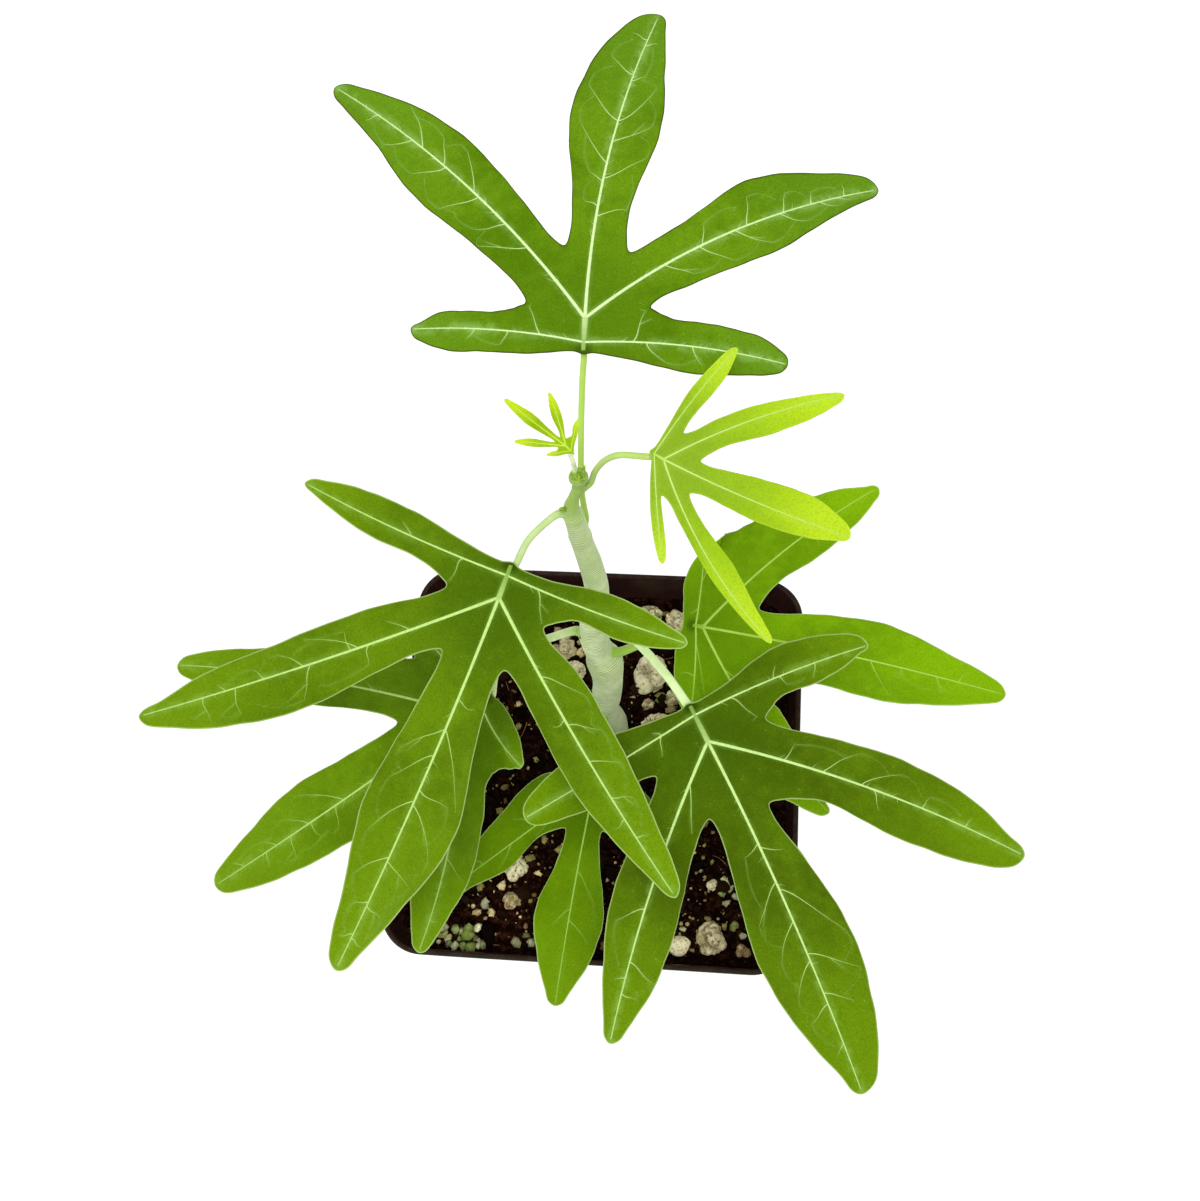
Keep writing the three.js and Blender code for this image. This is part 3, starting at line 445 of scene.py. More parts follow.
# Veins. For each lobe, its laterals left of the midrib and then right of it. A lateral holds the fractions
# of the midrib where it leaves and where it ends, and how much of the half width it crosses.

LATERALS = {
    "leaf_rear": {
        0: (((0.44, 0.47, 0.65), (0.63, 0.66, 0.4)), ((0.25, 0.1, 0.95),)),
        1: (
            ((0.25, 0.29, 0.95), (0.34, 0.35, 0.65), (0.45, 0.46, 0.85), (0.58, 0.61, 0.7),
             (0.71, 0.74, 0.8), (0.84, 0.84, 0.6)),
            ((0.47, 0.52, 0.75), (0.59, 0.61, 0.65), (0.67, 0.74, 0.9))),
        2: (
            ((0.33, 0.29, 0.5), (0.41, 0.4, 0.4), (0.47, 0.53, 0.75), (0.61, 0.66, 0.85), (0.77, 0.79, 0.7),
             (0.9, 0.9, 0.6)),
            ((0.3, 0.23, 0.9), (0.42, 0.43, 0.9), (0.54, 0.55, 0.8), (0.61, 0.7, 0.8), (0.75, 0.76, 0.4),
             (0.88, 0.88, 0.6))),
        3: (
            ((0.42, 0.4, 0.55), (0.57, 0.56, 0.65), (0.69, 0.69, 0.5), (0.78, 0.78, 0.4),
             (0.89, 0.88, 0.5)),
            ((0.29, 0.3, 0.7), (0.41, 0.43, 0.8), (0.53, 0.58, 0.75), (0.68, 0.72, 0.6), (0.81, 0.84, 0.5),
             (0.87, 0.9, 0.4))),
        4: (((0.24, 0.08, 0.95),), ((0.31, 0.41, 0.8), (0.53, 0.58, 0.65))),
    },
    "leaf_front_left": {
        0: ((), ((0.18, 0.08, 0.95),)),
        1: (
            ((0.27, 0.34, 0.8), (0.43, 0.46, 0.75), (0.55, 0.57, 0.8), (0.67, 0.68, 0.65), (0.8, 0.8, 0.5)),
            ((0.41, 0.37, 0.5), (0.74, 0.72, 0.65))),
        2: (
            ((0.27, 0.23, 0.6), (0.35, 0.47, 0.85), (0.51, 0.48, 0.65), (0.55, 0.62, 0.8), (0.7, 0.7, 0.8),
             (0.82, 0.81, 0.7), (0.91, 0.9, 0.85)),
            ((0.35, 0.38, 0.8), (0.42, 0.47, 0.7), (0.54, 0.62, 0.75), (0.69, 0.74, 0.8), (0.81, 0.82, 0.6),
             (0.9, 0.91, 0.6))),
        3: (
            ((0.35, 0.31, 0.6), (0.51, 0.49, 0.8), (0.72, 0.68, 0.75), (0.81, 0.77, 0.8)),
            ((0.24, 0.27, 0.5), (0.38, 0.48, 0.8), (0.4, 0.38, 0.6), (0.53, 0.57, 0.65), (0.64, 0.65, 0.45),
             (0.75, 0.76, 0.35))),
        4: (((0.2, 0.1, 0.9),), ((0.45, 0.5, 0.4),)),
    },
    "leaf_front_right": {
        0: (((0.46, 0.49, 0.4),), ((0.21, 0.08, 0.9), (0.49, 0.48, 0.55), (0.69, 0.62, 0.7))),
        1: (
            ((0.23, 0.21, 0.55), (0.35, 0.4, 0.8), (0.47, 0.55, 0.65), (0.66, 0.66, 0.4), (0.8, 0.8, 0.4)),
            ((0.51, 0.5, 0.5),)),
        2: (
            ((0.31, 0.28, 0.55), (0.43, 0.53, 0.9), (0.61, 0.64, 0.9), (0.72, 0.74, 0.6)),
            ((0.3, 0.28, 0.45), (0.41, 0.45, 0.7), (0.52, 0.57, 0.55), (0.63, 0.68, 0.6),
             (0.75, 0.76, 0.65), (0.86, 0.87, 0.5))),
        3: (
            ((0.15, 0.2, 0.7), (0.74, 0.74, 0.95), (0.84, 0.82, 0.7)),
            ((0.57, 0.6, 0.75), (0.79, 0.79, 0.5))),
        4: (((0.2, 0.12, 0.6),), ((0.2, 0.25, 0.4),)),
    },
    "leaf_low_left": {
        0: ((), ((0.66, 0.8, 0.3),)),
        1: (((0.61, 0.62, 0.75), (0.86, 0.84, 0.55)), ()),
        2: (
            ((0.51, 0.5, 0.55), (0.61, 0.57, 0.5), (0.69, 0.67, 0.7), (0.79, 0.78, 0.5)),
            ((0.48, 0.56, 0.8), (0.62, 0.66, 0.5), (0.75, 0.77, 0.4), (0.88, 0.9, 0.6))),
        3: ((), ((0.31, 0.32, 0.2), (0.55, 0.6, 0.6))),
    },
    "leaf_low_front": {
        2: (((0.41, 0.49, 0.65), (0.63, 0.68, 0.75)), ((0.58, 0.63, 0.45),)),
    },
    "leaf_right_rear": {
        1: ((), ((0.64, 0.57, 0.7),)),
        2: (((0.84, 0.85, 0.65),), ((0.55, 0.56, 0.85), (0.65, 0.64, 0.25), (0.77, 0.76, 0.65))),
    },
    "leaf_young": {},
    "leaf_tiny": {},
}
TICKS = {"leaf_rear": 24, "leaf_front_left": 9, "leaf_front_right": 9, "leaf_low_left": 7}  # on each lobe
BEND = 1.7  # how much a lateral leans to the tip as it goes
KINK = 0.0035  # how far it wanders, of the midrib's length
LATERAL_EVERY = 10  # between laterals where a lobe has none listed
ARC_SPAN = (0.03, 0.2)  # between the ends of two laterals that an arc joins, of the midrib's length
LONG_REACH = 0.6  # beyond which a lateral may fork
FORKED = 0.35  # how many of those do
MIDRIB_END = 0.985  # where a midrib's ridge ends
MIDRIB_WIDE = 0.58
OUTER_MIDRIB_WIDE = 0.38  # in the first and the last lobe
MIDRIB_TIP_WIDE = 0.2
LATERAL_WIDE = 0.22
FORK_WIDE = 0.13
TICK_WIDE = 0.12
ARC_WIDE = 0.08
FULL_WIDE = 0.35  # the least width at which a vein stands at its full height
VEIN_RISE = 0.07  # over the blade's face
VEIN_UNDER = 0.08  # and under its back
RIDGE_SIDES = 6


def read_grid(grid, side, f, across):
    """Points of a lobe's grid at midrib fractions and shares of the half width, blended between corners."""
    row = np.interp(f, grid["f"], np.arange(len(grid["f"])))
    column = np.clip(across, 0, 1) * ACROSS
    r = np.clip(row.astype(int), 0, len(grid["f"]) - 2)
    c = np.clip(column.astype(int), 0, ACROSS - 1)
    u, v = (row - r)[..., None], (column - c)[..., None]
    face = grid["points"][side]
    near = face[r, c] * (1 - v) + face[r, c + 1] * v
    far = face[r + 1, c] * (1 - v) + face[r + 1, c + 1] * v
    return near * (1 - u) + far * u


def lateral_route(start, end, reach, t):
    """A lateral's fractions and shares: it leaves the midrib steeply and leans more and more to the tip."""
    kink = KINK * reach * np.sin(7 * t) * np.sin(40 * start)
    return start + (end - start) * t ** BEND + kink, reach * t


def ridges(paths, widths, rise, depth):
    """Veins as six-sided ridges with closed ends (vein, step, side): wide at the leaf's face, rise over it
    and depth under it, and lower where they are thin."""
    veins, steps = widths.shape
    along = np.gradient(paths, axis=1)
    along /= np.linalg.norm(along, axis=-1, keepdims=True) + TINY
    across = np.cross(along, UP)
    across /= np.linalg.norm(across, axis=-1, keepdims=True) + TINY
    turn = np.radians(np.arange(RIDGE_SIDES) * 360 / RIDGE_SIDES)
    tall = np.where(np.sin(turn) > 0, rise, depth) * np.sin(turn) / np.sin(np.radians(60))
    full = np.minimum(1, widths / FULL_WIDE)[..., None, None]
    rings = paths[:, :, None] + across[:, :, None] * (np.cos(turn)[:, None] * widths[..., None, None] / 2)
    rings = rings + UP * tall[:, None] * (0.4 + 0.6 * full)
    quads = grid_faces(steps, RIDGE_SIDES, close=True)
    first = np.arange(veins)[:, None, None] * steps * RIDGE_SIDES
    foot = np.arange(RIDGE_SIDES)
    ends = np.stack([foot[::-1], (steps - 1) * RIDGE_SIDES + foot])
    return rings.reshape(-1, 3), (quads + first).reshape(-1, 4), (ends + first).reshape(-1, RIDGE_SIDES)


def seeded_laterals(random, long):
    """Laterals for a lobe that has none listed: left and right in turn, at nearly even steps along it."""
    count = max(2, int(long / LATERAL_EVERY))
    sides = ([], [])
    for i in range(count):
        start = 0.2 + 0.7 * (i + random.uniform(-0.25, 0.25)) / count
        sides[i % 2].append((start, start + random.uniform(0.03, 0.1), random.uniform(0.5, 0.8)))
    return sides


def midrib_veins(leaf):
    """The vein from a leaf's joint to its fork and the five midribs, thinner and fainter to the tips, as
    paths, widths and fades."""
    size = np.clip(leaf["lobes"][2][1] / 60, 0.4, 1)
    t = np.linspace(0, 1, 40)
    f = MIDRIB_END * t
    spots = [np.stack([np.linspace(0, leaf["fork"], len(t)), 0 * t], axis=-1)]
    widths = [size * (0.7 + 0.3 * t)]
    fades = [0.85 - 0.45 * t]
    for k in range(5):
        spots.append(on_midrib(leaf, k, f)[0])
        wide = OUTER_MIDRIB_WIDE if k in (0, 4) else MIDRIB_WIDE
        widths.append(size * (MIDRIB_TIP_WIDE + (wide - MIDRIB_TIP_WIDE) * (1 - f)))
        fades.append(0.05 + 0.3 * f ** 2)
    paths = [np.concatenate([spot, sag(leaf, spot)[:, None]], axis=-1) for spot in spots]
    return np.array(paths), np.array(widths), np.array(fades)


def vein_groups(leaf, name, grids):
    """Every vein of a leaf as groups of (paths, widths, fades). Midribs first, then laterals with their
    forks and the faint arcs that join them near the margin, then short ticks that leave the midribs nearly
    square."""
    random = np.random.default_rng(len(name) + leaf["head"] % 97)
    t = np.linspace(0, 1, 16)
    tick_t = np.linspace(0, 1, 6)
    laterals, ticks = [], []
    for k, grid in enumerate(grids):
        listed = LATERALS[name].get(k, ((), ()))
        if name not in YOUNG and k not in LATERALS[name]:
            listed = seeded_laterals(random, leaf["lobes"][k][1])
        for side, specs in enumerate(listed):
            for (_, end, reach), (_, after, further) in zip(specs, specs[1:]):
                if ARC_SPAN[0] < after - end < ARC_SPAN[1]:
                    bow = 0.1 * np.sin(np.pi * t) + (further * 0.75 - reach) * t
                    path = read_grid(grid, side, end + (after - end) * 0.8 * t, reach + bow)
                    laterals.append((path, ARC_WIDE + 0 * t, 0.76 + 0.18 * np.sin(np.pi * t)))
            for start, end, reach in specs:
                path = read_grid(grid, side, *lateral_route(start, end, reach, t))
                laterals.append((path, LATERAL_WIDE - 0.12 * t, 0.3 + 0.5 * t))
                if reach > LONG_REACH and random.uniform() < FORKED:
                    at = random.uniform(0.4, 0.6)
                    f0 = start + (end - start) * at ** BEND
                    path = read_grid(grid, side, f0 + 0.035 * t, reach * at + 0.22 * t)
                    laterals.append((path, FORK_WIDE - 0.05 * t, 0.6 + 0.3 * t))
        for _ in range(TICKS.get(name, 0)):
            side, f0, length = random.integers(2), random.uniform(0.08, 0.96), random.uniform(0.08, 0.2)
            lean = random.uniform(-0.01, 0.02)
            path = read_grid(grid, side, f0 + lean * tick_t, length * tick_t)
            ticks.append((path, TICK_WIDE - 0.05 * tick_t, 0.35 + 0.5 * tick_t))
    found = [tuple(np.array(part) for part in zip(*veins)) for veins in (laterals, ticks) if veins]
    return [midrib_veins(leaf), *found]


def nearest(points, spots):
    """Distance in the leaf's plane from each point to the nearest of the spots, found batch by batch."""
    found = np.empty(len(points))
    batch = 2000
    for start in range(0, len(points), batch):
        apart = points[start:start + batch, None, :2] - spots[:, :2]
        found[start:start + batch] = np.sqrt((apart ** 2).sum(axis=-1).min(axis=1))
    return found


def joined_lobes(grids):
    """All lobes' upper faces, joined where they meet: points, triangles that all face up, and for each
    point its distance from the midrib and its fraction along it."""
    across = np.linspace(0, 1, ACROSS + 1)
    corners = []
    for grid in grids:
        shape = grid["points"].shape[:3]
        rib = grid["half"][..., None] * across
        along = np.broadcast_to(grid["f"][:, None], shape)
        full = np.concatenate([grid["points"], rib[..., None], along[..., None]], axis=-1)
        quads = grid_faces(shape[1], ACROSS + 1)
        corners += [side.reshape(-1, 5)[quads] for side in full]
    corners = np.concatenate(corners).reshape(-1, 5)
    merged_at = np.round(corners[:, :2] / MERGE)
    _, first, joined = np.unique(merged_at, axis=0, return_index=True, return_inverse=True)
    top, rib, along = corners[first, :3], corners[first, 3], corners[first, 4]
    quads = joined.reshape(-1, 4)
    triangles = np.vstack([quads[:, [0, 1, 2]], quads[:, [0, 2, 3]]])
    a, b, c = triangles.T
    triangles = triangles[(a != b) & (b != c) & (c != a)]
    a, b, c = (top[triangles[:, i]] for i in range(3))
    turned = np.cross(b[:, :2] - a[:, :2], c[:, :2] - a[:, :2]) < 0
    triangles[turned] = triangles[turned][:, ::-1]
    return top, triangles, rib, along


def free_edges(triangles):
    """The edges that belong to one triangle only."""
    edges = np.vstack([triangles[:, [0, 1]], triangles[:, [1, 2]], triangles[:, [2, 0]]])
    _, where, uses = np.unique(np.sort(edges, axis=1), axis=0, return_index=True, return_counts=True)
    return edges[where[uses == 1]]


def blade_piece(name, leaf, grids, groups, material):
    """The blade: all lobes' upper faces, the same faces under them, nearer towards the margin, and the rim
    between. Each point is marked with its distances in the leaf's plane, which the colours go by."""
    top, triangles, rib, along = joined_lobes(grids)
    free = free_edges(triangles)
    count = len(top)
    rim = nearest(top, top[np.unique(free)])
    drop = EDGE_THICK + (LEAF_THICK - EDGE_THICK) * smooth(rim / EDGE_RUN)
    under = top - np.stack([0 * drop, 0 * drop, drop], axis=-1)
    wall = np.stack([free[:, 0], free[:, 0] + count, free[:, 1] + count, free[:, 1]], axis=-1)
    points = to_pot(leaf, np.vstack([top, under]))
    vein = nearest(top, np.vstack([paths.reshape(-1, 3) for paths, _, _ in groups[:2]]))
    palm = np.linalg.norm(top[:, :2] - [leaf["fork"], 0], axis=1)
    seat = np.linalg.norm(top[:, :2], axis=1)
    marks = {"rib": rib, "rim": rim, "along": along, "vein": vein, "palm": palm, "seat": seat}
    marks = {label: np.tile(values, 2) for label, values in marks.items()}
    marks["under"] = np.repeat([0.0, 1.0], count)
    faces = [triangles, triangles[:, ::-1] + count, wall]
    stands_for = (f"{name}_blade",)
    return new_piece(f"{name}_fine_blade", points, faces, material, stands_for, marks)


def vein_piece(name, leaf, groups, material):
    """All veins of a leaf in one mesh, each a ridge that shows on both faces of the blade."""
    points, quads, ends, fades = [], [], [], []
    count = 0
    for paths, widths, fade in groups:
        part, sides, caps = ridges(paths, widths, VEIN_RISE, LEAF_THICK + VEIN_UNDER)
        points.append(part)
        quads.append(sides + count)
        ends.append(caps + count)
        fades.append(np.repeat(fade.ravel(), RIDGE_SIDES))
        count += len(part)
    points = to_pot(leaf, np.vstack(points))
    faces = [np.vstack(quads), np.vstack(ends)]
    marks = {"fade": np.concatenate(fades)}
    return new_piece(f"{name}_veins", points, faces, material, marks=marks)


# Stem and stalks

STEM = np.array([  # its centre and radius
    (2.4, 8.2, 55, 2.6), (2.4, 8.2, 64, 3.4), (2.4, 8.2, 73, 3.6), (2.3, 8.5, 83.5, 3.8),
    (2, 9.2, 93.5, 2.6), (2.5, 9.8, 100, 3.1), (3.2, 10.5, 108, 3.1), (3.2, 11.3, 119, 3.7),
    (2.6, 11.5, 124, 2.8), (2, 11.8, 129, 2.8), (2.4, 12.6, 139, 2.7), (3.8, 13.8, 151.5, 2.2),
    (3.4, 14.5, 162, 2.1), (2.6, 15, 171, 1.9), (2, 15.5, 179.5, 1.7), (1.8, 15.7, 183, 1.3),
    (2.5, 16.1, 186.5, 0.9), (3.5, 16.6, 189.5, 0.9), (3.6, 16.8, 192, 1.4), (3.6, 16.8, 193, 1.3),
])
SIDE_BUDS = ((183.5, 215, 1.8), (132.5, 205, 1.6), (96, -110, 2.2))  # height, way and length
TIP_SCALES = ((-60, 3.4), (60, 2.6), (200, 2.8))  # way and length
STEM_STEPS, STEM_SIDES = 260, 48
STALK_STEPS, STALK_SIDES = 16, 20  # steps for each point of its route
SCALE_STEPS, SCALE_SIDES = 12, 10
NODE_RISE = 0.16  # of the low ring at a leaf node
NODE_BELOW = 0.8  # how far under the stalk's seat it is
NODE_TALL = 0.5
STALK_BEND = 1.9  # radius of the bend under the blade, of the stalk's
STALK_END = 0.2  # how far that bend ends under the solid stalk's end
STALK_ROOT = 1.2  # how deep a stalk starts in the stem
SEAT_RUN = 0.7  # how far it runs straight out of it


def stem_at(z):
    """Centre and radius of the stem at a height."""
    x, y, radius = (np.interp(z, STEM[:, 2], STEM[:, k]) for k in (0, 1, 3))
    return np.array([x, y, z]), radius


def facing(degrees, rise=0.0):
    """A level unit step that way, with a rise."""
    turn = np.radians(degrees)
    return np.array([np.cos(turn), np.sin(turn), rise])


def stem_piece(material):
    """The stem: circles round its centre line, their radius eased between the swellings, with a low ring at
    each leaf node and a little unevenness."""
    places = np.linspace(0, len(STEM) - 1, STEM_STEPS)
    path = through(STEM[:, :3], places)
    radii = eased(STEM[:, 3], places)
    for leaf in LEAVES.values():
        over = path[:, 2] - leaf["stalk"]["z"] + NODE_BELOW
        radii = radii + NODE_RISE * np.exp(-((over / NODE_TALL) ** 2))
    rings = tube(path, radii, facing(0), STEM_SIDES)
    out = rings - path[:, None]
    rings = path[:, None] + out * (1 + 0.01 * lattice_noise(rings * [1, 1, 0.5], 3, 5)[..., None])
    points, faces = ring_skin(rings)
    return new_piece("stem_skin", points, faces, material, ("stem",))


def spindle(base, towards, length, radius, curl, aside):
    """A closed bud or scale: circles along a path that starts at base and curls up, swelling and then
    closing to a point."""
    t = np.linspace(0, 1, SCALE_STEPS)
    path = base + length * (t[:, None] * unit(towards) + curl * t[:, None] ** 2 * UP)
    radii = radius * np.sqrt(np.clip(1.02 - t, 0, 1)) * (0.75 + 0.6 * t)
    return ring_skin(tube(path, radii, aside, SCALE_SIDES))


def merged(parts):
    """Several closed skins as one set of points and faces."""
    points, quads, fans = [], [], []
    count = 0
    for part, (sides, foot, top) in parts:
        points.append(part)
        quads.append(sides + count)
        fans += [foot + count, top + count]
        count += len(part)
    return np.vstack(points), [np.vstack(quads), np.vstack(fans)]


def side_buds(material):
    """The small buds in the leaf axils, one skin each, which start a little inside the stem."""
    parts = []
    for z, way, length in SIDE_BUDS:
        centre, radius = stem_at(z)
        base = centre + facing(way) * radius * 0.75
        parts.append(spindle(base, facing(way, 1.1), length, length * 0.3, 0.15, facing(way + 90)))
    points, faces = merged(parts)
    return new_piece("side_buds", points, faces, material)


def shoot_tip(material):
    """The growing point and the pointed scales round it."""
    x, y, z = STEM[-1][:3]
    foot = np.array([x + 0.5, y - 0.6, z - 0.2])
    parts = [spindle(foot, UP, 3, 0.75, 0, facing(0))]
    for way, length in TIP_SCALES:
        parts.append(spindle(foot, facing(way, 1.6), length, 0.42, 0.15, facing(way + 90)))
    points, faces = merged(parts)
    return new_piece("shoot_tip_scales", points, faces, material, ("shoot_tip",))


def bend_under(leaf, last, radius):
    """The last of a stalk's route: a bend from the way it comes to straight up, which ends in the blade."""
    turns, _ = leaf_frame(leaf)
    bend = STALK_BEND * radius
    end = to_pot(leaf, np.array([0, 0, -BLADE - GAP]))
    up = turns[:, 2]
    level = last - end
    whole = min(np.pi / 2, np.pi - np.arccos(unit(level) @ up))
    level = unit(level - up * (level @ up))
    steps = max(1, round(whole / np.radians(30)))
    turn = whole * (1 - np.arange(steps + 1) / steps)[:, None]
    arc = end + level * bend * (1 - np.cos(turn)) - up * (bend * np.sin(turn) + STALK_END)
    return np.vstack([arc, end, to_pot(leaf, np.array([0, 0, -LEAF_THICK / 2]))])


def stalk_route(leaf):
    """The points of a stalk's route: its root in the stem and its seat on it, or only a point in the shoot
    tip where it has no way, then the points it passes and the bend under its blade."""
    stalk = leaf["stalk"]
    radius = stalk["radius"]
    via = np.array(stalk["via"], float)
    if stalk["way"] is None:
        seat = np.array([[via[0][0], via[0][1], stalk["z"] - 0.5]])
    else:
        centre, stem_radius = stem_at(stalk["z"])
        rise = np.radians(stalk.get("rise", 0))
        out = facing(stalk["way"])
        heading = out * np.cos(rise) + UP * np.sin(rise)
        foot = centre + out * (stem_radius + GAP + radius * np.sin(rise))
        root = foot - heading * STALK_ROOT - out * 0.6 * np.sin(rise)
        seat = np.array([root, foot, foot + heading * SEAT_RUN])
    return np.vstack([seat, via, bend_under(leaf, via[-1], radius)])


def stalk_piece(name, leaf, material):
    """A leaf stalk: circles along its route, flared where it leaves the stem, swollen before the blade and
    drawn in where it ends under it."""
    stalk = leaf["stalk"]
    radius = stalk["radius"]
    points = stalk_route(leaf)
    path = through(points, np.linspace(0, len(points) - 1, STALK_STEPS * len(points)))
    run = np.concatenate([[0], np.cumsum(np.linalg.norm(np.diff(path, axis=0), axis=1))])
    flare = 1 + stalk.get("flare", 0.5) * np.exp(-run / (1.6 * radius + 0.4))
    left = (run[-1] - run) / radius
    swell = 1 + 0.1 * np.exp(-((left / 3) ** 2)) - 0.6 * smooth(1 - left / 1.6)
    far = stalk["via"][-1] if len(stalk["via"]) > 1 else leaf["joint"]
    whole = unit(np.array(far, float) - points[0])
    aside = unit(np.cross(whole * [1, 1, 0] + 1e-6, UP))
    skin, faces = ring_skin(tube(path, radius * flare * swell, aside, STALK_SIDES))
    share = np.append(np.repeat(run / run[-1], STALK_SIDES), [0, 1])
    stands_for, marks = (f"{name}_stalk",), {"along": share}
    return new_piece(f"{name}_fine_stalk", skin, faces, material, stands_for, marks)


# Pot

CORNER_STEPS = 14
FLAT_STEPS = 12
HOLE_ROWS = 5  # of points from the floor's edge in to a drain hole
POT_FLOOR = 1.6
EDGE_ROUND = 0.5  # of the pot's foot and the lip's top
LIP_ROUND = 0.4  # of the lip's lower edge
FLOOR_ROUND = 2  # inside, round the floor
WARP = 0.12  # how far the wall stands off its straight taper, at most


def rounded_square(half, corner, z):
    """A ring round a rounded square: each quarter is a corner's arc and the flat that follows it."""
    arc = np.linspace(0, np.pi / 2, CORNER_STEPS + 1)
    quarter = half - corner + corner * np.stack([np.cos(arc), np.sin(arc)], axis=-1)
    flat = np.linspace(half - corner, corner - half, FLAT_STEPS + 1)[1:-1]
    quarter = np.vstack([quarter, np.stack([flat, np.full(len(flat), half)], axis=-1)])
    x, y = quarter.T
    ring = np.vstack([np.stack(pair, axis=-1) for pair in ((x, y), (-y, x), (-x, -y), (y, -x))])
    return np.column_stack([ring, np.full(len(ring), z)])


def wall_at(z):
    """Half width and corner radius of the tapered wall's outer face at a height."""
    f = z / POT_HEIGHT
    half = POT_FOOT / 2 + (POT_RIM / 2 - LIP_STEP - POT_FOOT / 2) * f
    return half, FOOT_CORNER + (RIM_CORNER - LIP_STEP - FOOT_CORNER) * f


def pot_ring(z, out):
    """A ring of the pot at a height and so far out of the wall's outer face."""
    half, corner = wall_at(z)
    return rounded_square(half + out, corner + out, z)


def rounded_edge(z, out, turn_from, turn_to, radius, steps=5):
    """Heights and reaches of a small rounded edge, as a quarter circle about a centre."""
    turn = np.radians(np.linspace(turn_from, turn_to, steps))
    return [(z + radius * np.sin(a), out + radius * np.cos(a)) for a in turn]


def pot_profile():
    """Heights and reaches of the pot's rings: first those up its outer face, then those over the lip and
    down the inner face to the floor."""
    lip_foot = POT_HEIGHT - LIP_HEIGHT
    lip_in = LIP_STEP - POT_WALL
    outer = rounded_edge(EDGE_ROUND, -EDGE_ROUND, -90, 0, EDGE_ROUND)
    outer += [(z, 0) for z in np.linspace(3, lip_foot - LIP_STEP * 0.7, 14)]
    outer += rounded_edge(lip_foot + LIP_ROUND, LIP_STEP - LIP_ROUND, -60, 0, LIP_ROUND, 4)
    outer += [(z, LIP_STEP) for z in np.linspace(lip_foot + 2, POT_HEIGHT - 2, 4)]
    outer += rounded_edge(POT_HEIGHT - EDGE_ROUND, LIP_STEP - EDGE_ROUND, 0, 90, EDGE_ROUND)
    inner = rounded_edge(POT_HEIGHT - EDGE_ROUND, lip_in + EDGE_ROUND, 90, 180, EDGE_ROUND)
    inner += [(z, lip_in) for z in np.linspace(POT_HEIGHT - 2, LEDGE + 0.2, 4)]
    inner += [(LEDGE, lip_in - 0.05), (lip_foot + 0.05, 0.1 - POT_WALL)]
    inner += [(z, -POT_WALL) for z in np.linspace(lip_foot - 0.2, 5, 8)]
    inner += rounded_edge(POT_FLOOR + FLOOR_ROUND, -POT_WALL - FLOOR_ROUND, 0, -90, FLOOR_ROUND)
    return outer, inner


def floor_sheet(ring, q, hole, z):
    """One quarter of the pot's floor at a height, as points (row, column) from the quarter's edge in to its
    round hole. The edge follows the ring and comes back through the floor's middle."""
    quarter = len(ring) // 4
    middle = (q * quarter - FLAT_STEPS // 2) % len(ring)
    outer = ring[(middle + np.arange(quarter + 1)) % len(ring), :2]
    spokes = np.linspace(1, 0, FLAT_STEPS // 2 + 1)[1:, None]
    edge = np.vstack([outer, outer[-1] * spokes, outer[0] * spokes[::-1][1:]])
    way = edge - hole
    rim = hole + way / np.linalg.norm(way, axis=1, keepdims=True) * DRAIN_HOLE / 2
    sheet = edge + (rim - edge) * np.linspace(0, 1, HOLE_ROWS)[:, None, None]
    return np.concatenate([sheet, np.full(sheet.shape[:2] + (1,), z)], axis=-1)


def pot_piece(material):
    """The pot: rings up the outside, over the lip and down the inside, a little warped, and a floor with
    four holes. Each quarter of the floor is a sheet from its edge to a round hole, once below and once
    above."""
    outer, inner = pot_profile()
    rings = np.array([pot_ring(z, out) for z, out in outer + inner])
    warp = WARP * lattice_noise(rings[..., :2], 26, 3) * (rings[..., 2] / POT_HEIGHT) ** 2
    rings[..., :2] += rings[..., :2] / 40 * warp[..., None]
    sides = rings.shape[1]
    points = [rings.reshape(-1, 3)]
    faces = [grid_faces(len(rings), sides, close=True)]
    count = len(points[0])
    for q, corner in enumerate(((1, 1), (-1, 1), (-1, -1), (1, -1))):
        hole = np.array(corner) * (POT_FOOT / 2 - DRAIN_HOLE)
        below = floor_sheet(rings[0], q, hole, 0.0)
        above = floor_sheet(rings[-1], q, hole, POT_FLOOR)
        stack = np.concatenate([below, above[::-1]])
        points.append(stack.reshape(-1, 3))
        faces.append(grid_faces(len(stack), stack.shape[1], close=True)[:, ::-1] + count)
        count += len(points[-1])
    points = np.vstack(points)
    _, first, joined = np.unique(np.round(points / MERGE), axis=0, return_index=True, return_inverse=True)
    quads = joined.reshape(-1)[np.vstack(faces)]
    outside = np.where(np.arange(len(points)) < len(outer) * sides, 1.0, 0.0)
    marks = {"outside": outside[first]}
    return new_piece("pot_shell", points[first], [quads], material, ("pot",), marks)


# Soil, pumice and grit

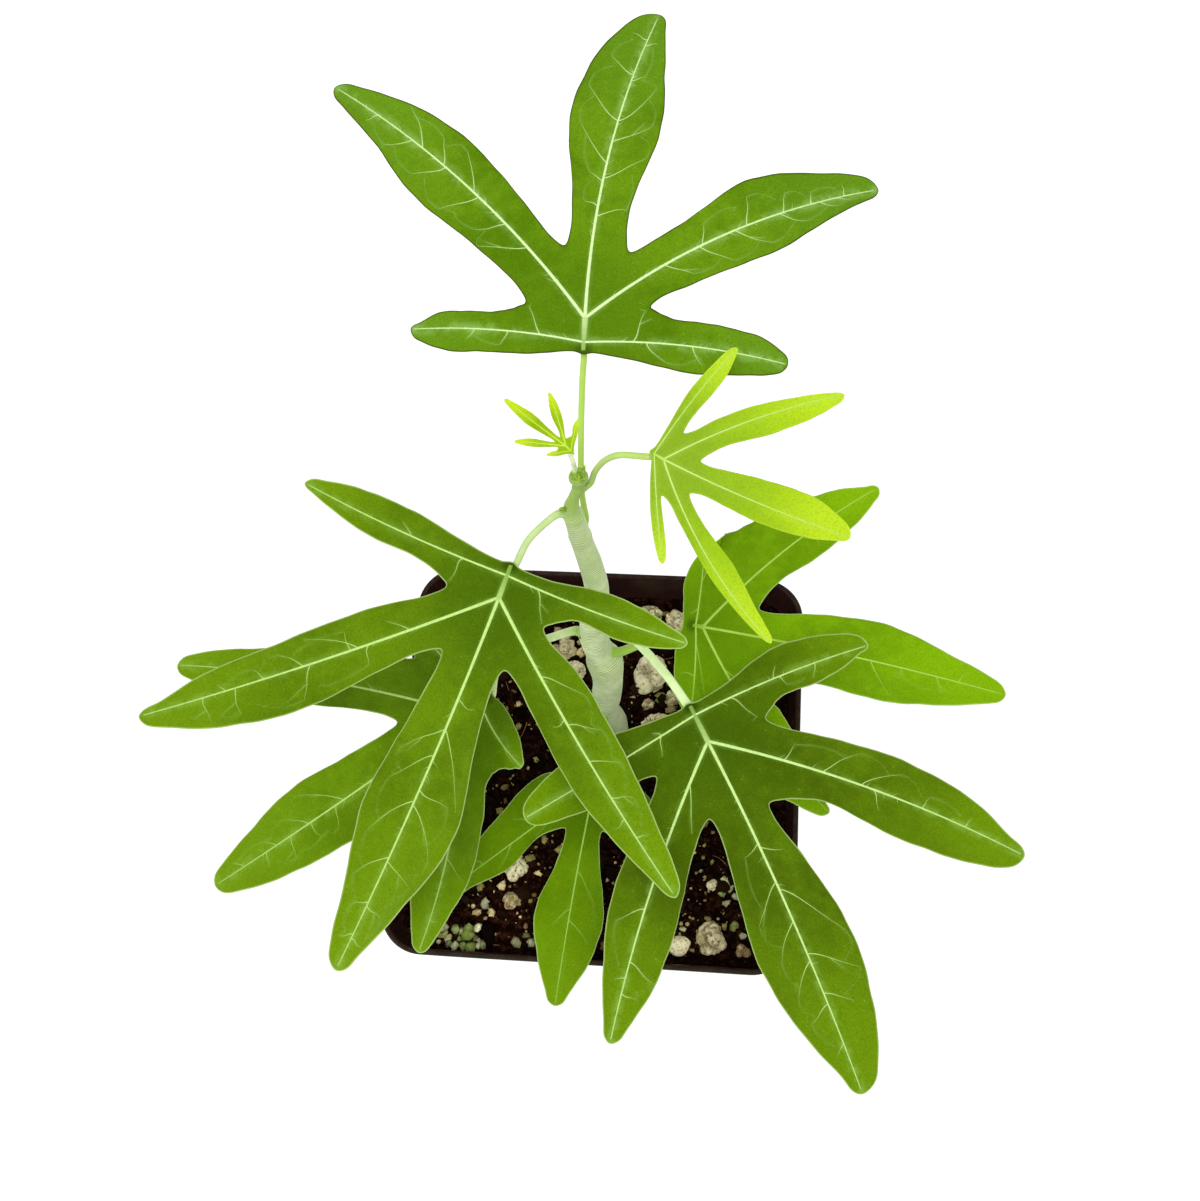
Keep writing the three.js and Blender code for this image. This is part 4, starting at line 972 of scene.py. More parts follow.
SOIL_CELLS = 220  # along each side of its top
SOIL_FOOT = 2  # the height of its underside
LIP_GAP = 0.05  # between the soil and the lip
NOISE_FROM = 200  # added to a place before the soil's noise is read there
STONES = (  # place, length, breadth, height, turn and how green it is
    (7.9, 37.6, 8, 4.4, 4.8, 5, 0.9), (15.5, 37, 4.4, 5.2, 4, 60, 0.2), (-10.5, 28.6, 5.4, 5, 4.5, 20, 0.3),
    (-7.6, 23.2, 4.6, 5.2, 4, 75, 0.3), (10.4, 22.6, 8, 9, 7.4, -15, 0.1), (16, 17.4, 4.8, 4.2, 4, 0, 1),
    (9.9, 15.8, 3.4, 2.6, 2.6, 30, 0.1), (12.4, 11.6, 7, 3.8, 3.6, 5, 0.2),
    (-17.3, -23.6, 5, 6.6, 5, -12, 0.2), (-17.3, -30.6, 4.2, 3.6, 3.4, 15, 0.6),
    (19.9, -38.2, 4.6, 4, 3.6, 20, 0), (26.9, -36.2, 6.6, 7, 5.6, 0, 0.6),
    (26.8, -24.6, 3.2, 2.4, 2.4, 10, 0), (33.8, -38.4, 3.2, 3.2, 3, 40, 0.2),
)
SMOOTH_STONES = (10, 12)  # stones counted from 0
# On stone 9 the brown mostly stands for shade: painted shade
STAIN_AND_SHADE = {2: 0.3, 6: 0.6, 9: 0.85, 11: 0.5, 13: 0.8}  # how brown some of them are
STONE_RISE = 0.12  # of a stone's middle over the soil, of its height
STONE_ROWS, STONE_SIDES = 48, 72
GRAIN_ROWS, GRAIN_SIDES = 5, 6
GRIT_EDGE = 1.2  # how far loose grit stays from the pot's wall
GRIT_CORNER = 7  # and the radius that it keeps to in the corners
BEADS = (  # loose white grains: place and size
    (-15.6, -39.6, 1.9), (-12.4, -39.4, 2.2), (-13.6, -37.9, 1.3), (29.3, -23.6, 1.9), (30.6, -24.9, 2.1),
    (28.6, -26.4, 1.5), (31.6, -26.8, 1.6), (29.7, -28.3, 1.5), (31.4, -33.4, 2.1), (33.6, -35.2, 1.6),
    (-37.4, -36.2, 1.9), (-36.6, -38.1, 1.5), (-9.4, 21.4, 1.6), (-7.1, 19.4, 1.4), (12.2, 16.9, 1.7),
    (26.2, -19.6, 1.2), (23.7, -21.3, 1.3), (20.4, -34.4, 1.1), (-23.6, -31.6, 1.8), (-10.8, -33.2, 1.9),
)


def soil_height(x, y):
    """The soil's top: broad humps with three sizes of crumb on them."""
    spot = np.stack([x, y], axis=-1) + NOISE_FROM
    broad = 0.5 * np.sin(x / 9) * np.cos(y / 11)
    crumbs = 0.5 * lattice_noise(spot, 3.1, 11) + 0.55 * np.abs(lattice_noise(spot, 1.7, 12))
    return SOIL_TOP - 0.3 + broad + crumbs + 0.3 * np.abs(lattice_noise(spot, 0.8, 13))


def soil_piece(material):
    """The soil: a square grid with its corners drawn in to arcs, lifted to the crumbly top and banked up
    against the lip, and a tapered wall of rings from its edge down to a flat foot."""
    half, corner = wall_at(SOIL_TOP)
    half += LIP_STEP - POT_WALL - LIP_GAP
    line = np.linspace(-half, half, SOIL_CELLS + 1)
    x, y = np.meshgrid(line, line, indexing="ij")
    size = np.maximum(np.abs(x), np.abs(y))
    inner = size * (1 - (corner - 1) / half)
    ax, ay = np.maximum(np.abs(x) - inner, 0), np.maximum(np.abs(y) - inner, 0)
    length = np.hypot(ax, ay) + TINY
    pull = np.where((ax > 0) & (ay > 0), (size - inner) / length, 1)
    x = np.sign(x) * (np.minimum(np.abs(x), inner) + ax * pull)
    y = np.sign(y) * (np.minimum(np.abs(y), inner) + ay * pull)
    bank = LEDGE + 0.1 + 0.4 * np.abs(lattice_noise(np.stack([x, y], axis=-1) + NOISE_FROM, 1.2, 14))
    height = np.maximum(soil_height(x, y), bank - 3 * smooth((half - size) / 2.4))
    top = np.stack([x, y, height], axis=-1)
    n = SOIL_CELLS + 1
    index = np.arange(n * n).reshape(n, n)
    edge = np.concatenate([index[:-1, 0], index[-1, :-1], index[:0:-1, -1], index[0, :0:-1]])
    rim = top.reshape(-1, 3)[edge]
    walls = []
    below = [(z, wall_at(z)[0] - POT_WALL - GAP) for z in (SOIL_TOP - 0.1, SOIL_TOP - 3, 40, 4)]
    for z, out in ((LEDGE + LIP_GAP, half), *below, (SOIL_FOOT, below[-1][1] - FLOOR_ROUND)):
        walls.append(np.column_stack([rim[:, :2] * out / half, np.full(len(rim), z)]))
    points = np.vstack([top.reshape(-1, 3), *walls, [[0, 0, SOIL_FOOT]]])
    ring = len(edge)
    rows = np.vstack([edge, *(n * n + k * ring + np.arange(ring) for k in range(len(walls)))])
    after = np.roll(rows, -1, axis=1)
    sides = np.stack([rows[:-1], rows[1:], after[1:], after[:-1]], axis=-1).reshape(-1, 4)
    foot = np.stack([after[-1], rows[-1], np.full(ring, len(points) - 1)], axis=-1)
    top_faces = grid_faces(n, n)[:, ::-1]
    return new_piece("soil_crumbs", points, [top_faces, sides, foot], material, ("soil",))


def ball(rows, columns):
    """Unit points over a ball in rings from pole to pole, without the poles."""
    tilt = np.pi * (np.arange(rows) + 0.5) / rows
    turn = 2 * np.pi * np.arange(columns) / columns
    ring = np.stack([np.cos(turn), np.sin(turn), 0 * turn], axis=-1)
    return ring * np.sin(tilt)[:, None, None] - UP * np.cos(tilt)[:, None, None]


def stone_piece(i, spec, material):
    """A pumice stone: a ball stretched to its size whose surface falls with the square of the distance to
    the nearest of its knobs, so that creases run between them, roughened by noise and pitted."""
    x, y, long, broad, high, turn, moss = spec
    shape = ball(STONE_ROWS, STONE_SIDES)
    smoother = i in SMOOTH_STONES
    random = np.random.default_rng(60 + i)
    knobs = random.normal(size=(4 if smoother else 11, 3))
    knobs /= np.linalg.norm(knobs, axis=1, keepdims=True)
    knobs *= random.uniform(0.8, 1.25, (len(knobs), 1))
    near = np.linalg.norm(shape[..., None, :] - knobs, axis=-1).min(axis=-1)
    crease = smooth((near - 0.52) / 0.3)
    relief = 0.25 if smoother else 1
    swell = 1.12 - relief * 0.5 * near ** 2 + 0.12 * lattice_noise(shape + 3 * i + 9, 0.28, 22) * relief
    swell = swell + 0.18 * lattice_noise(shape + 3 * i + 9, 0.8, 21)
    pits = np.clip(lattice_noise(shape + 5 * i + 9, 0.15, 23) - 0.25, 0, 1)
    shape = shape * (swell - 0.3 * pits * relief)[..., None] * [long / 2, broad / 2, high / 2]
    turns = np.array(Matrix.Rotation(np.radians(turn), 3, "Z"))
    points, faces = ring_skin(shape @ turns.T + [x, y, SOIL_TOP + STONE_RISE * high])
    # Painted shade: how dark the stone is painted in its creases and pits
    hollow_shade = np.clip(crease * 0.85 * relief + 3 * pits, 0, 1)
    ends = [hollow_shade[0].mean(), hollow_shade[-1].mean()]
    marks = {"hollow_shade": np.append(hollow_shade.ravel(), ends)}
    for label, value in (("moss", moss), ("warm", random.uniform(0, 1)), ("stain_and_shade", STAIN_AND_SHADE.get(i, 0))):
        marks[label] = np.full(len(points), float(value))
    name = f"pumice_{i + 1:02d}"
    return new_piece(f"{name}_lump", points, faces, material, (name,), marks)


def on_soil(random, count):
    """Random places over the soil, clear of the pot's rounded corners."""
    half = wall_at(SOIL_TOP)[0] - POT_WALL - GRIT_EDGE
    spots = random.uniform(-half, half, (count, 2))
    past = np.maximum(np.abs(spots) - (half - GRIT_CORNER), 0)
    return spots[np.hypot(*past.T) < GRIT_CORNER]


def grains(name, spots, size, stretch, seed, material, slot, lift, tone_spread=1.0):
    """Loose grains at those places: angular balls, each stretched, turned and dented at random."""
    random = np.random.default_rng(seed)
    count = len(spots)
    dents = random.uniform(0.6, 1.35, (count, GRAIN_ROWS, GRAIN_SIDES, 1))
    shape = ball(GRAIN_ROWS, GRAIN_SIDES)[None] * dents
    lengths = size[:, None] / 2 * random.uniform(1 - stretch, 1 + stretch, (count, 3))
    shape = shape * lengths[:, None, None]
    turn = random.uniform(0, 2 * np.pi, count)
    lean = random.uniform(-0.5, 0.5, count)
    cos, sin = np.cos(turn)[:, None, None], np.sin(turn)[:, None, None]
    x, y, z = np.moveaxis(shape, -1, 0)
    z = z + x * lean[:, None, None]
    shape = np.stack([x * cos - y * sin, x * sin + y * cos, z], axis=-1)
    place = np.column_stack([spots, soil_height(*spots.T) + lift * size])
    points, faces = ring_skin(shape[0])
    each = len(points)
    ends = np.stack([shape[:, 0].mean(axis=1), shape[:, -1].mean(axis=1)], axis=1)
    rings = np.concatenate([shape.reshape(count, -1, 3), ends], axis=1) + place[:, None]
    shift = (np.arange(count) * each)[:, None, None]
    all_faces = [(part + shift).reshape(-1, part.shape[1]) for part in faces]
    marks = {"tone": np.repeat(random.uniform(0, 1, count) ** tone_spread, each)}
    marks["kind"] = np.repeat(random.uniform(0, 1, count), each)
    return new_piece(name, rings.reshape(-1, 3), all_faces, material, (), marks, rounded=False)


def scattered(name, count, sizes, power, seed, material, slot, **looks):
    """Grains all over the soil, with sizes between two limits and more of the small ones."""
    random = np.random.default_rng(seed)
    spots = on_soil(random, count)
    size = sizes[0] + (sizes[1] - sizes[0]) * random.uniform(0, 1, len(spots)) ** power
    return grains(name, spots, size, seed=seed + 1, material=material, slot=slot, **looks)


def bead_cluster(material):
    """The heap of small greenish-white grains along the pot's front left, and the single white ones."""
    random = np.random.default_rng(35)
    column, row = np.divmod(np.arange(24), 3)
    heap = np.column_stack([column * 1.7 + (row % 2) * 0.8 - 34.5, row * 1.7 - 40.8])
    heap += random.uniform(-0.6, 0.6, heap.shape)
    single = np.array(BEADS)
    spots = np.vstack([heap, single[:, :2]])
    size = np.append(random.uniform(1.2, 2.7, len(heap)), single[:, 2] * 1.15)
    return grains("white_beads", spots, size, 0.3, 36, material, "pumice_stone", 0.22)


FIBRES = ((-24.8, -39.9, 5, 0.6, 6), (-23.6, -40.8, -12, -0.5, 5), (-9.5, 5.5, -40, 0.5, 6))
MORE_FIBRES = 30
FIBRE_ROOM = 40.5  # how far from the pot's middle a fibre may reach


def fibres(material):
    """Thin bark and root fibres lying on the soil: round threads on short bowed paths, the first ones
    listed by place, turn, bow and length."""
    random = np.random.default_rng(41)
    specs = list(FIBRES)
    for _ in range(MORE_FIBRES):
        turn, bow = random.uniform(0, 360), random.uniform(-1.2, 1.2)
        specs.append((*random.uniform(-37, 37, 2), turn, bow, random.uniform(3, 8)))
    parts = []
    t = np.linspace(0, 1, 12)
    for x, y, turn, bow, length in specs:
        heading = np.radians(turn) + bow * t
        steps = np.stack([np.cos(heading), np.sin(heading)], axis=-1) * length / len(t)
        flat = np.clip([x, y] + np.cumsum(steps, axis=0), -FIBRE_ROOM, FIBRE_ROOM)
        lift = 0.3 + 0.6 * np.sin(np.pi * t) * random.uniform(0, 1)
        path = np.column_stack([flat, soil_height(*flat.T) + lift])
        radii = random.uniform(0.08, 0.16) * (1.1 - 0.8 * t)
        parts.append(ring_skin(tube(path, radii, UP, 6)))
    points, faces = merged(parts)
    return new_piece("soil_fibres", points, faces, material)


# Materials

def rgb(red, green, blue):
    """A colour given as it looks on a screen, from 0 to 255, in the light values that the shader reads."""
    c = np.array([red, green, blue]) / 255
    linear = np.where(c <= 0.04045, c / 12.92, ((c + 0.055) / 1.055) ** 2.4)
    return (*linear, 1.0)


def plug(tree, socket, value):
    """Sets a socket, or links it where the value is another node's output."""
    if isinstance(value, bpy.types.NodeSocket):
        tree.links.new(value, socket)
    else:
        socket.default_value = value


def add(tree, kind, sockets=None, **settings):
    """A node of that kind, with its settings and the values of its sockets."""
    node = tree.nodes.new("ShaderNode" + kind)
    for name, value in settings.items():
        setattr(node, name, value)
    for name, value in (sockets or {}).items():
        plug(tree, node.inputs[name], value)
    return node


def blend(tree, factor, first, second):
    """A colour between two, by a factor that is a number or an output. A Mix node has its factor in its
    input 0, its colours in 6 and 7, and their blend in its output 2."""
    node = add(tree, "Mix", data_type="RGBA")
    for index, value in ((0, factor), (6, first), (7, second)):
        plug(tree, node.inputs[index], value)
    return node.outputs[2]


def remap(tree, value, low, high, to_low=0.0, to_high=1.0, shape="SMOOTHSTEP"):
    """A value brought from one range to another, and held at its ends."""
    sockets = {"Value": value, "From Min": low, "From Max": high, "To Min": to_low, "To Max": to_high}
    return add(tree, "MapRange", sockets, interpolation_type=shape).outputs[0]


def calc(tree, a, b, operation="MULTIPLY"):
    """The product of two numbers or outputs, or another operation on them."""
    node = add(tree, "Math", operation=operation)
    for index, value in enumerate((a, b)):
        plug(tree, node.inputs[index], value)
    return node.outputs[0]


def mark(tree, name):
    """The values that a piece's points are marked with under that name."""
    return add(tree, "Attribute", attribute_name=name).outputs["Fac"]


def noise_at(tree, coords, size, detail=3.0, roughness=0.5):
    """Noise with features of a size in millimetres."""
    sockets = {"Vector": coords, "Scale": 1 / (size * MM), "Detail": detail, "Roughness": roughness}
    return add(tree, "TexNoise", sockets).outputs["Fac"]


def mottle_group():
    """Living skin: a broad and fine tone, a grain finer than that, and sparse pale specks."""
    tree = bpy.data.node_groups.new("living_skin", "ShaderNodeTree")
    tree.interface.new_socket("Vector", in_out="INPUT", socket_type="NodeSocketVector")
    for label in ("Broad", "Fine", "Grain"):
        tree.interface.new_socket(label, in_out="INPUT", socket_type="NodeSocketFloat")
    for label in ("Tone", "Grain", "Specks"):
        tree.interface.new_socket(label, in_out="OUTPUT", socket_type="NodeSocketFloat")
    start, end = tree.nodes.new("NodeGroupInput"), tree.nodes.new("NodeGroupOutput")
    noises = []
    for label, detail in (("Broad", 3.0), ("Fine", 4.0), ("Grain", 2.0)):
        sockets = {"Vector": start.outputs["Vector"], "Scale": start.outputs[label], "Detail": detail}
        noises.append(add(tree, "TexNoise", sockets).outputs["Fac"])
    broad, fine, grain = noises
    tone = calc(tree, calc(tree, broad, 0.65), calc(tree, fine, 0.35), "ADD")
    tree.links.new(remap(tree, tone, 0.36, 0.64), end.inputs["Tone"])
    tree.links.new(grain, end.inputs["Grain"])
    specks = calc(tree, remap(tree, grain, 0.66, 0.74), remap(tree, fine, 0.5, 0.62))
    tree.links.new(specks, end.inputs["Specks"])
    return tree


def skin_of(tree, group, broad, fine, grain):
    """The living skin on Object coordinates, with its feature sizes in millimetres."""
    coords = add(tree, "TexCoord").outputs["Object"]
    node = tree.nodes.new("ShaderNodeGroup")
    node.node_tree = group
    tree.links.new(coords, node.inputs["Vector"])
    for name, size in (("Broad", broad), ("Fine", fine), ("Grain", grain)):
        node.inputs[name].default_value = 1 / (size * MM)
    return node, coords


def new_material(name):
    """A material with its node tree and its shader."""
    material = bpy.data.materials.new(name)
    material.use_nodes = True
    tree = material.node_tree
    return material, tree, tree.nodes["Principled BSDF"]


def finish_with(tree, shader, color, roughness, height, depth=0.1, strength=0.3, specular=0.5):
    """Links colour, roughness and bump into the shader, and sets its plain specular level."""
    tree.links.new(color, shader.inputs["Base Color"])
    plug(tree, shader.inputs["Roughness"], roughness)
    bump = add(tree, "Bump", {"Height": height, "Strength": strength, "Distance": depth * MM})
    tree.links.new(bump.outputs["Normal"], shader.inputs["Normal"])
    shader.inputs["Specular IOR Level"].default_value = specular


def blade_material(name, skin, deep, light, palm, tip, halo, edge, bloom_and_sheen=0.15, spread=1.5, rim=0.6,
                   spot=0.75):
    """Leaf green: mottled and finely grained, darker in the palm and lighter to the tips, with a patchy
    pale cast that spreads from the midribs, most of all in a lobe's outer half, partly the leaf's waxy coat
    and partly painted sheen, a thin line along the margin, partly its paler colour and partly a painted
    highlight, which is a painted shade line where it is dark, as on the rear leaf, a dark spot over the
    stalk and a duller underside."""
    material, tree, shader = new_material(name)
    group, coords = skin_of(tree, skin, 15, 2.2, 0.3)
    color = blend(tree, group.outputs["Tone"], rgb(*deep), rgb(*light))
    color = blend(tree, remap(tree, mark(tree, "palm"), 2, 22, 0.7, 0.0), color, rgb(*palm))
    color = blend(tree, remap(tree, mark(tree, "along"), 0.4, 0.95, 0.0, 0.75), color, rgb(*tip))
    dark = rgb(*((0.62 if spot > 0.5 else 0.8) * c for c in palm))
    color = blend(tree, remap(tree, group.outputs["Grain"], 0.36, 0.56, 0.22, 0.0), color, dark)
    # Painted sheen: pale patches near the midribs, partly the leaf's waxy coat
    patches = remap(tree, noise_at(tree, coords, 2.6, 4.0, 0.65), 0.4, 0.62, 0.1, 1.0)
    rib_bloom_and_sheen = calc(tree, remap(tree, mark(tree, "rib"), 0.1, spread, bloom_and_sheen, 0.0),
                    remap(tree, mark(tree, "along"), 0.2, 0.7, 0.7, 1.3))
    color = blend(tree, calc(tree, rib_bloom_and_sheen, patches), color, rgb(*halo))
    color = blend(tree, remap(tree, mark(tree, "vein"), 0.05, 0.5, 0.1, 0.0), color, rgb(*halo))
    fork = calc(tree, remap(tree, mark(tree, "vein"), 0.2, 1.1, 1.0, 0.0),
                remap(tree, mark(tree, "palm"), 1, 8, bloom_and_sheen, 0.0))
    color = blend(tree, fork, color, rgb(*halo))
    color = blend(tree, calc(tree, group.outputs["Specks"], 0.3), color, rgb(*halo))
    color = blend(tree, remap(tree, mark(tree, "seat"), 0.5, 2.0, spot, 0.0), color, dark)
    # A thin line along the margin: partly its real paler colour and partly a painted highlight; dark edge
    # colours, as on the rear leaf, are painted shade
    color = blend(tree, remap(tree, mark(tree, "rim"), 0.02, 0.3, rim, 0.0), color, rgb(*edge))
    under = blend(tree, 0.4, color, rgb(132, 160, 86))
    color = blend(tree, mark(tree, "under"), color, under)
    rough = remap(tree, group.outputs["Tone"], 0.0, 1.0, 0.38, 0.5, "LINEAR")
    finish_with(tree, shader, color, rough, group.outputs["Grain"], depth=0.08, strength=0.3, specular=0.12)
    return material


def vein_material(name, pale, leafy):
    """Pale at the root of a vein and nearly leaf green where it runs out."""
    material, tree, shader = new_material(name)
    coords = add(tree, "TexCoord").outputs["Object"]
    color = blend(tree, mark(tree, "fade"), rgb(*pale), rgb(*leafy))
    grain = noise_at(tree, coords, 0.7)
    color = blend(tree, remap(tree, grain, 0.35, 0.65, 0.0, 0.15), color, rgb(*leafy))
    finish_with(tree, shader, color, 0.5, grain, depth=0.04, strength=0.3, specular=0.1)
    return material


def stem_material(skin):
    """Waxy grey-green bark with fine wavy lines round it, like contour lines, duller above and greener at
    the neck."""
    material, tree, shader = new_material("stem_bark")
    group, coords = skin_of(tree, skin, 7, 1.2, 0.35)
    color = blend(tree, group.outputs["Tone"], rgb(190, 212, 136), rgb(228, 242, 188))
    tilted = add(tree, "Mapping", {"Vector": coords, "Rotation": (0.35, 0.4, 0.0)}).outputs["Vector"]
    apart = 0.6 * MM
    waves = {"Vector": tilted, "Scale": 0.314 / apart}
    waves |= {"Distortion": 9.0, "Detail": 2.0, "Detail Scale": 0.35}
    lines = add(tree, "TexWave", waves, bands_direction="Z").outputs["Fac"]
    faint = remap(tree, noise_at(tree, coords, 2.5), 0.35, 0.6, 0.3, 1.0)
    grooves = calc(tree, faint, remap(tree, lines, 0.0, 0.4, 0.85, 0.0))
    color = blend(tree, grooves, color, rgb(124, 152, 74))
    crests = calc(tree, faint, remap(tree, lines, 0.6, 1.0, 0.0, 0.6))
    color = blend(tree, crests, color, rgb(246, 254, 220))
    height = add(tree, "SeparateXYZ", {"Vector": coords}).outputs["Z"]
    upper = remap(tree, height, 140 * MM, 165 * MM, 0.0, 0.5)
    color = blend(tree, upper, color, rgb(160, 182, 112))
    neck = remap(tree, height, 176 * MM, 186 * MM, 0.0, 0.9)
    color = blend(tree, neck, color, rgb(140, 174, 62))
    green = remap(tree, noise_at(tree, coords, 6.0), 0.54, 0.7, 0.0, 0.25)
    color = blend(tree, green, color, rgb(140, 172, 88))
    finish_with(tree, shader, color, 0.6, lines, depth=0.03, strength=0.4, specular=0.12)
    shader.inputs["Sheen Weight"].default_value = 0.2
    return material


def stalk_material(name, pale, green):
    """Smooth pale green, greener at both ends, with a faint streak along it."""
    material, tree, shader = new_material(name)
    coords = add(tree, "TexCoord").outputs["Object"]
    grain = noise_at(tree, coords, 1.6)
    color = blend(tree, remap(tree, grain, 0.3, 0.7, 0.0, 0.25), rgb(*pale), rgb(*green))
    ends = calc(tree, remap(tree, mark(tree, "along"), 0.0, 0.22, 0.8, 0.0),
                remap(tree, mark(tree, "along"), 0.9, 1.0, 0.0, 0.3), "ADD")
    color = blend(tree, ends, color, rgb(*green))
    finish_with(tree, shader, color, 0.45, grain, depth=0.08, strength=0.25, specular=0.2)
    shader.inputs["Sheen Weight"].default_value = 0.15
    return material


def bud_material(skin):
    """Bud scales: soft yellow-green with dark green creases."""
    material, tree, shader = new_material("bud_scale")
    group, _ = skin_of(tree, skin, 1.6, 0.4, 0.15)
    color = blend(tree, group.outputs["Tone"], rgb(96, 134, 30), rgb(172, 202, 70))
    finish_with(tree, shader, color, 0.5, group.outputs["Grain"], depth=0.05, strength=0.3, specular=0.2)
    return material


def pot_material():
    """Thin black plastic: satin, browner inside, with a painted olive-grey reflection of the leaves on the
    lip's outer face, fine vertical streaks that are partly flow lines and partly painted sheen, and a
    lighter line along the top edge that is partly soil dust and partly a painted highlight."""
    material, tree, shader = new_material("pot_black_plastic")
    coords = add(tree, "TexCoord").outputs["Object"]
    flow = add(tree, "Mapping", {"Vector": coords, "Scale": (1.0, 1.0, 0.12)}).outputs["Vector"]
    # Vertical streaks: partly flow lines in the plastic and partly painted sheen
    streaks_and_sheen = noise_at(tree, flow, 1.1, 4.0)
    inside = blend(tree, streaks_and_sheen, rgb(34, 16, 14), rgb(56, 32, 30))
    outside = blend(tree, streaks_and_sheen, rgb(19, 17, 12), rgb(32, 32, 21))
    height = add(tree, "SeparateXYZ", {"Vector": coords}).outputs["Z"]
    # Painted reflection: the lip's outer face turns olive-grey, as if it mirrored the leaves
    lip = remap(tree, height, (POT_HEIGHT - 4) * MM, (POT_HEIGHT - 1) * MM)
    outside = blend(tree, lip, outside, rgb(36, 39, 25))
    color = blend(tree, mark(tree, "outside"), inside, outside)
    # A lighter line along the top edge: partly soil dust and partly a painted highlight
    dust_and_highlight = calc(tree, remap(tree, height, (POT_HEIGHT - 0.4) * MM, (POT_HEIGHT - 0.05) * MM),
                 remap(tree, noise_at(tree, coords, 2.5, 5.0, 0.7), 0.44, 0.64, 0.1, 0.6))
    color = blend(tree, dust_and_highlight, color, rgb(70, 52, 46))
    rough = remap(tree, noise_at(tree, coords, 3.0, 4.0), 0.3, 0.7, 0.36, 0.5, "LINEAR")
    finish_with(tree, shader, color, rough, streaks_and_sheen, depth=0.06, strength=0.25, specular=0.25)
    return material


def soil_material():
    """Near-black peat and bark: dark crumbs with faint browner flecks."""
    material, tree, shader = new_material("dark_soil")
    coords = add(tree, "TexCoord").outputs["Object"]
    crumbs = noise_at(tree, coords, 1.5, 6.0, 0.7)
    color = blend(tree, remap(tree, crumbs, 0.45, 0.7), rgb(18, 5, 3), rgb(58, 31, 18))
    flecks = remap(tree, noise_at(tree, coords, 0.8, 3.0), 0.62, 0.7, 0.0, 0.5)
    color = blend(tree, flecks, color, rgb(92, 62, 38))
    finish_with(tree, shader, color, 0.95, crumbs, depth=0.8, strength=0.9, specular=0.05)
    return material


def pumice_material():
    """Cream pumice: pale skin, painted shade in dark brown in its hollows and pits, with pinkish patches,
    green ones by its moss and brown ones on some stones, real staining on most and mostly painted shade on
    one."""
    material, tree, shader = new_material("cream_pumice")
    coords = add(tree, "TexCoord").outputs["Object"]
    grain = noise_at(tree, coords, 0.5, 6.0, 0.7)
    color = blend(tree, remap(tree, grain, 0.3, 0.5), rgb(220, 184, 126), rgb(255, 248, 206))
    warm = remap(tree, noise_at(tree, coords, 1.9, 4.0), 0.46, 0.62, 0.0, 0.7)
    color = blend(tree, calc(tree, warm, mark(tree, "warm")), color, rgb(240, 204, 150))
    patches = remap(tree, noise_at(tree, coords, 1.7, 4.0), 0.44, 0.6)
    color = blend(tree, calc(tree, patches, mark(tree, "moss")), color, rgb(140, 146, 80))
    # Brown patches: real staining, and on stone 9 mostly painted shade
    brown = remap(tree, noise_at(tree, coords, 1.1, 4.0), 0.35, 0.6, 0.4, 1.0)
    color = blend(tree, calc(tree, brown, mark(tree, "stain_and_shade")), color, rgb(122, 92, 44))
    # Painted shade in the creases and pits
    dark = calc(tree, mark(tree, "hollow_shade"), remap(tree, grain, 0.3, 0.6, 1.0, 0.5))
    color = blend(tree, dark, color, rgb(104, 66, 36))
    finish_with(tree, shader, color, 0.9, grain, depth=0.3, strength=0.6, specular=0.1)
    return material


def grain_material(name, dark, pale, third):
    """Loose grains, each with its own tone and some of another colour."""
    material, tree, shader = new_material(name)
    coords = add(tree, "TexCoord").outputs["Object"]
    grain = noise_at(tree, coords, 0.5, 4.0)
    color = blend(tree, mark(tree, "tone"), rgb(*pale), rgb(*dark))
    other = remap(tree, mark(tree, "kind"), 0.62, 0.7, 0.0, 0.85)
    color = blend(tree, other, color, rgb(*third))
    color = blend(tree, remap(tree, grain, 0.42, 0.66, 0.0, 0.5), color, rgb(*dark))
    finish_with(tree, shader, color, 0.9, grain, depth=0.2, strength=0.6, specular=0.08)
    return material


# Assembly

skin = mottle_group()
old = dict(
    deep=(82, 113, 0), light=(98, 132, 2), tip=(110, 147, 2), halo=(158, 202, 92), edge=(196, 222, 140))
blade_looks = {
    "leaf_rear": dict(
        deep=(82, 122, 0), light=(103, 144, 8), palm=(76, 114, 0), tip=(100, 144, 22),
        halo=(152, 198, 104), edge=(56, 52, 14), bloom_and_sheen=0.3, spread=1.9, rim=0.8),
    "leaf_front_left": dict(old, palm=(64, 95, 0), bloom_and_sheen=0.16),
    "leaf_front_right": dict(old, deep=(72, 98, 0), light=(88, 119, 0), palm=(60, 88, 0), bloom_and_sheen=0.2),
    # The two low leaves have lighter greens than the upper ones: painted light that makes up for the shade
    # that the leaves above cast on them
    "leaf_low_left": dict(
        old, deep=(86, 119, 0), light=(100, 136, 2), palm=(80, 113, 0), bloom_and_sheen=0.18, spread=2.0),
    "leaf_low_front": dict(old, deep=(92, 127, 0), light=(105, 143, 2), palm=(80, 114, 0), bloom_and_sheen=0.04),
    "leaf_right_rear": dict(
        old, deep=(103, 145, 0), light=(122, 168, 0), palm=(97, 139, 0), tip=(130, 178, 0),
        halo=(165, 205, 80), bloom_and_sheen=0.03),
    "leaf_young": dict(
        deep=(146, 184, 20), light=(160, 198, 18), palm=(120, 156, 36), tip=(186, 218, 34),
        halo=(184, 214, 96), edge=(188, 222, 70), bloom_and_sheen=0.1, rim=0.3, spot=0.2),
    "leaf_tiny": dict(
        deep=(156, 192, 0), light=(190, 218, 2), palm=(112, 150, 0), tip=(204, 228, 10),
        halo=(190, 220, 60), edge=(196, 226, 30), rim=0.2, spot=0.2),
}
